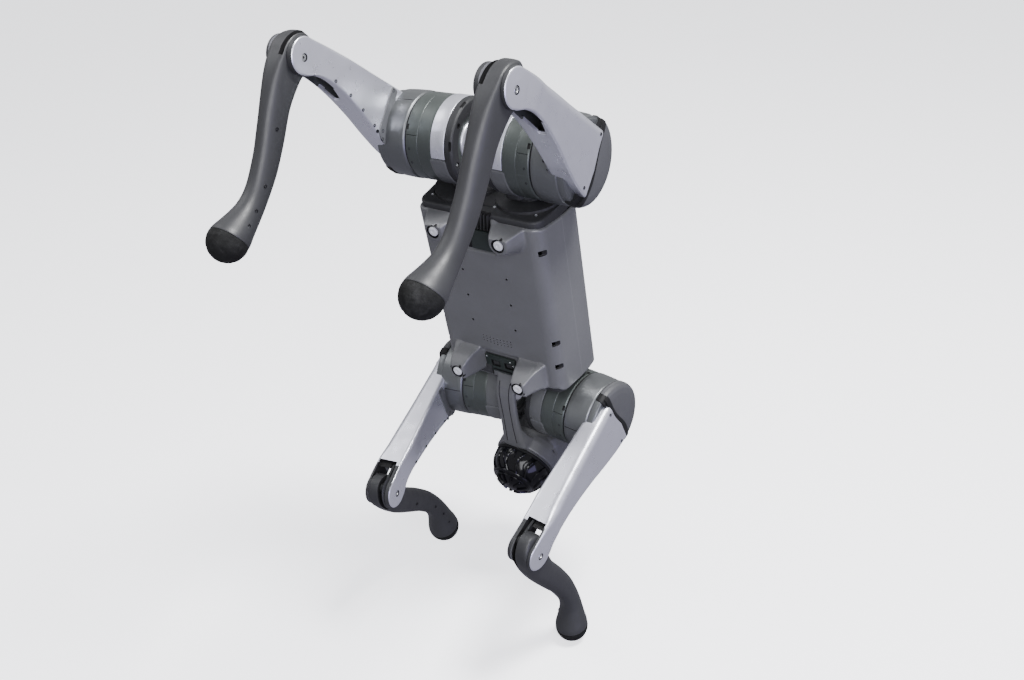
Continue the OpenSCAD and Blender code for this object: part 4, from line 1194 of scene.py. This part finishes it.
def ring_at(c, m=56):
    cx, cz, tilt, a, b, n = c
    t = math.radians(tilt)
    ux, uz = math.cos(t), -math.sin(t)
    out = []
    for j in range(m):
        th = 2 * math.pi * j / m
        ct, st = math.cos(th), math.sin(th)
        p = a * math.copysign(abs(ct) ** (2 / n), ct)
        q = b * math.copysign(abs(st) ** (2 / n), st)
        out.append((cx + p * ux, q, cz + p * uz))
    return np.array(out)


def lower_leg(k):
    M = calf_m(k)
    C = np.array(CALF)
    t = np.arange(len(C))
    tt = np.linspace(0, len(C) - 1, 76)
    D = np.stack([spl(t, C[:, i], tt) for i in range(6)], 1)
    K = np.array(KNOB); tk = np.linspace(0, len(K) - 1, 22)
    DK = np.stack([spl(np.arange(len(K)), K[:, i], tk) for i in range(6)], 1)[::-1][:-1]
    rings = [ring_at(c) for c in DK] + [ring_at(c) for c in D]
    V, F = loft(rings)
    cf = make("calf", V, F, M, M_LEG)
    slot_ = prism([(-40, 60), (60, 60), (60, -90), (36.5, -70.7), (23, -40.7), (8.5, -8.7), (-40, -8.7)], -10.5, -5, M, "xz", M_BLACK)
    keep = cyl(3.0, -11, -4, M @ T(0, 0, LEVER), "y", 32)
    boolean(slot_, [keep])
    # outline of the curved groove between the two flanges of the knee knob; it is not cut
    arcp = [(25.5 * math.cos(a), 25.5 * math.sin(a)) for a in np.linspace(math.radians(35), math.radians(200), 24)] + [(33 * math.cos(a), 33 * math.sin(a)) for a in np.linspace(math.radians(200), math.radians(35), 24)]
    cutters = [slot_, cyl(5.1, -14, 14, M, "y", 40)]
    # seat of the foot
    Mf = M @ T(0, 0, -L2) @ R(14, "Y")
    cutters.append(cyl(10.3, -1, 16.2, Mf, "z", 40))
    boolean(cf, cutters, sharp=38)
    out = [cf]
    for z in (-83, -143, -173, -191):
        i = int(np.argmin(abs(D[:, 1] - z)))
        cx, cz, ti, a, b, n = D[i]
        x = cx - a * 0.24
        yy = b * (1 - 0.24 ** n) ** (1 / n)
        out.append(screw((x, -yy, cz), (-0.1, -1, 0), 2.1, M))
    # rim ring of the socket
    V, F = lathe(prof([(20.4, 3.4), (22.5, 3.4), (22.5, 5.4), (20.4, 5.4)], 0.5, 2), 80, "z")
    out.append(make("rim", V, F, Mf, M_LEG))
    o = join("lower_leg_shell_" + k, out)
    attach(o, "lower_leg_" + k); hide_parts("calf_" + k)

    # foot: a rubber ball with a shallow tread of rings and flats
    P = [(0, 15.4), (10.0, 15.4), (10.0, 3.0), (22.4, 2.9), (22.7, 2.2), (22.8, 0.4)]
    for a in np.linspace(-4, -88, 24):
        r = FOOT_R
        P.append((r * math.cos(math.radians(a)), r * math.sin(math.radians(a))))
    P.append((0, -FOOT_R))
    V, F = lathe(P, 96, "z")
    V = V.copy()
    rr = np.linalg.norm(V, axis=1)
    lon = np.arctan2(V[:, 1], V[:, 0]); lat = np.arcsin(np.clip(V[:, 2] / np.maximum(rr, 1e-6), -1, 1))
    dip = np.where((V[:, 2] < -1) & (rr > 20), 0.35 * (0.5 + 0.5 * np.sin(lon * 7 + 2 * np.sin(lat * 9))) * (0.5 + 0.5 * np.cos(lat * 17)) * sstep(-1, -5, V[:, 2]), 0)
    V = V * (1 - dip / np.maximum(rr, 1))[:, None]
    f = make("foot_ball_" + k, V, F, Mf, M_RUBBER, 50)
    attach(f, "lower_leg_" + k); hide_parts("foot_" + k)


for k in ("fl", "fr", "rl", "rr"):
    hip_ring(k); thigh_motor(k); upper_leg(k); lower_leg(k)

# ------------------------------------------------------------------ CAD nodes that stay, with their materials
KEEP = {"chassis": M_DARK, "hip_motors": M_DARK, "main_board": M_BOARD, "lidar_base": M_PLAST, "lidar_rotor": M_STEEL}
for k in ("fl", "fr", "rl", "rr"):
    KEEP["knee_motor_" + k] = M_MOTOR; KEEP["crank_" + k] = M_LINK; KEEP["rod_" + k] = M_LINK
for n, m in KEEP.items():
    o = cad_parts[n]
    o.data.materials.clear(); o.data.materials.append(m)
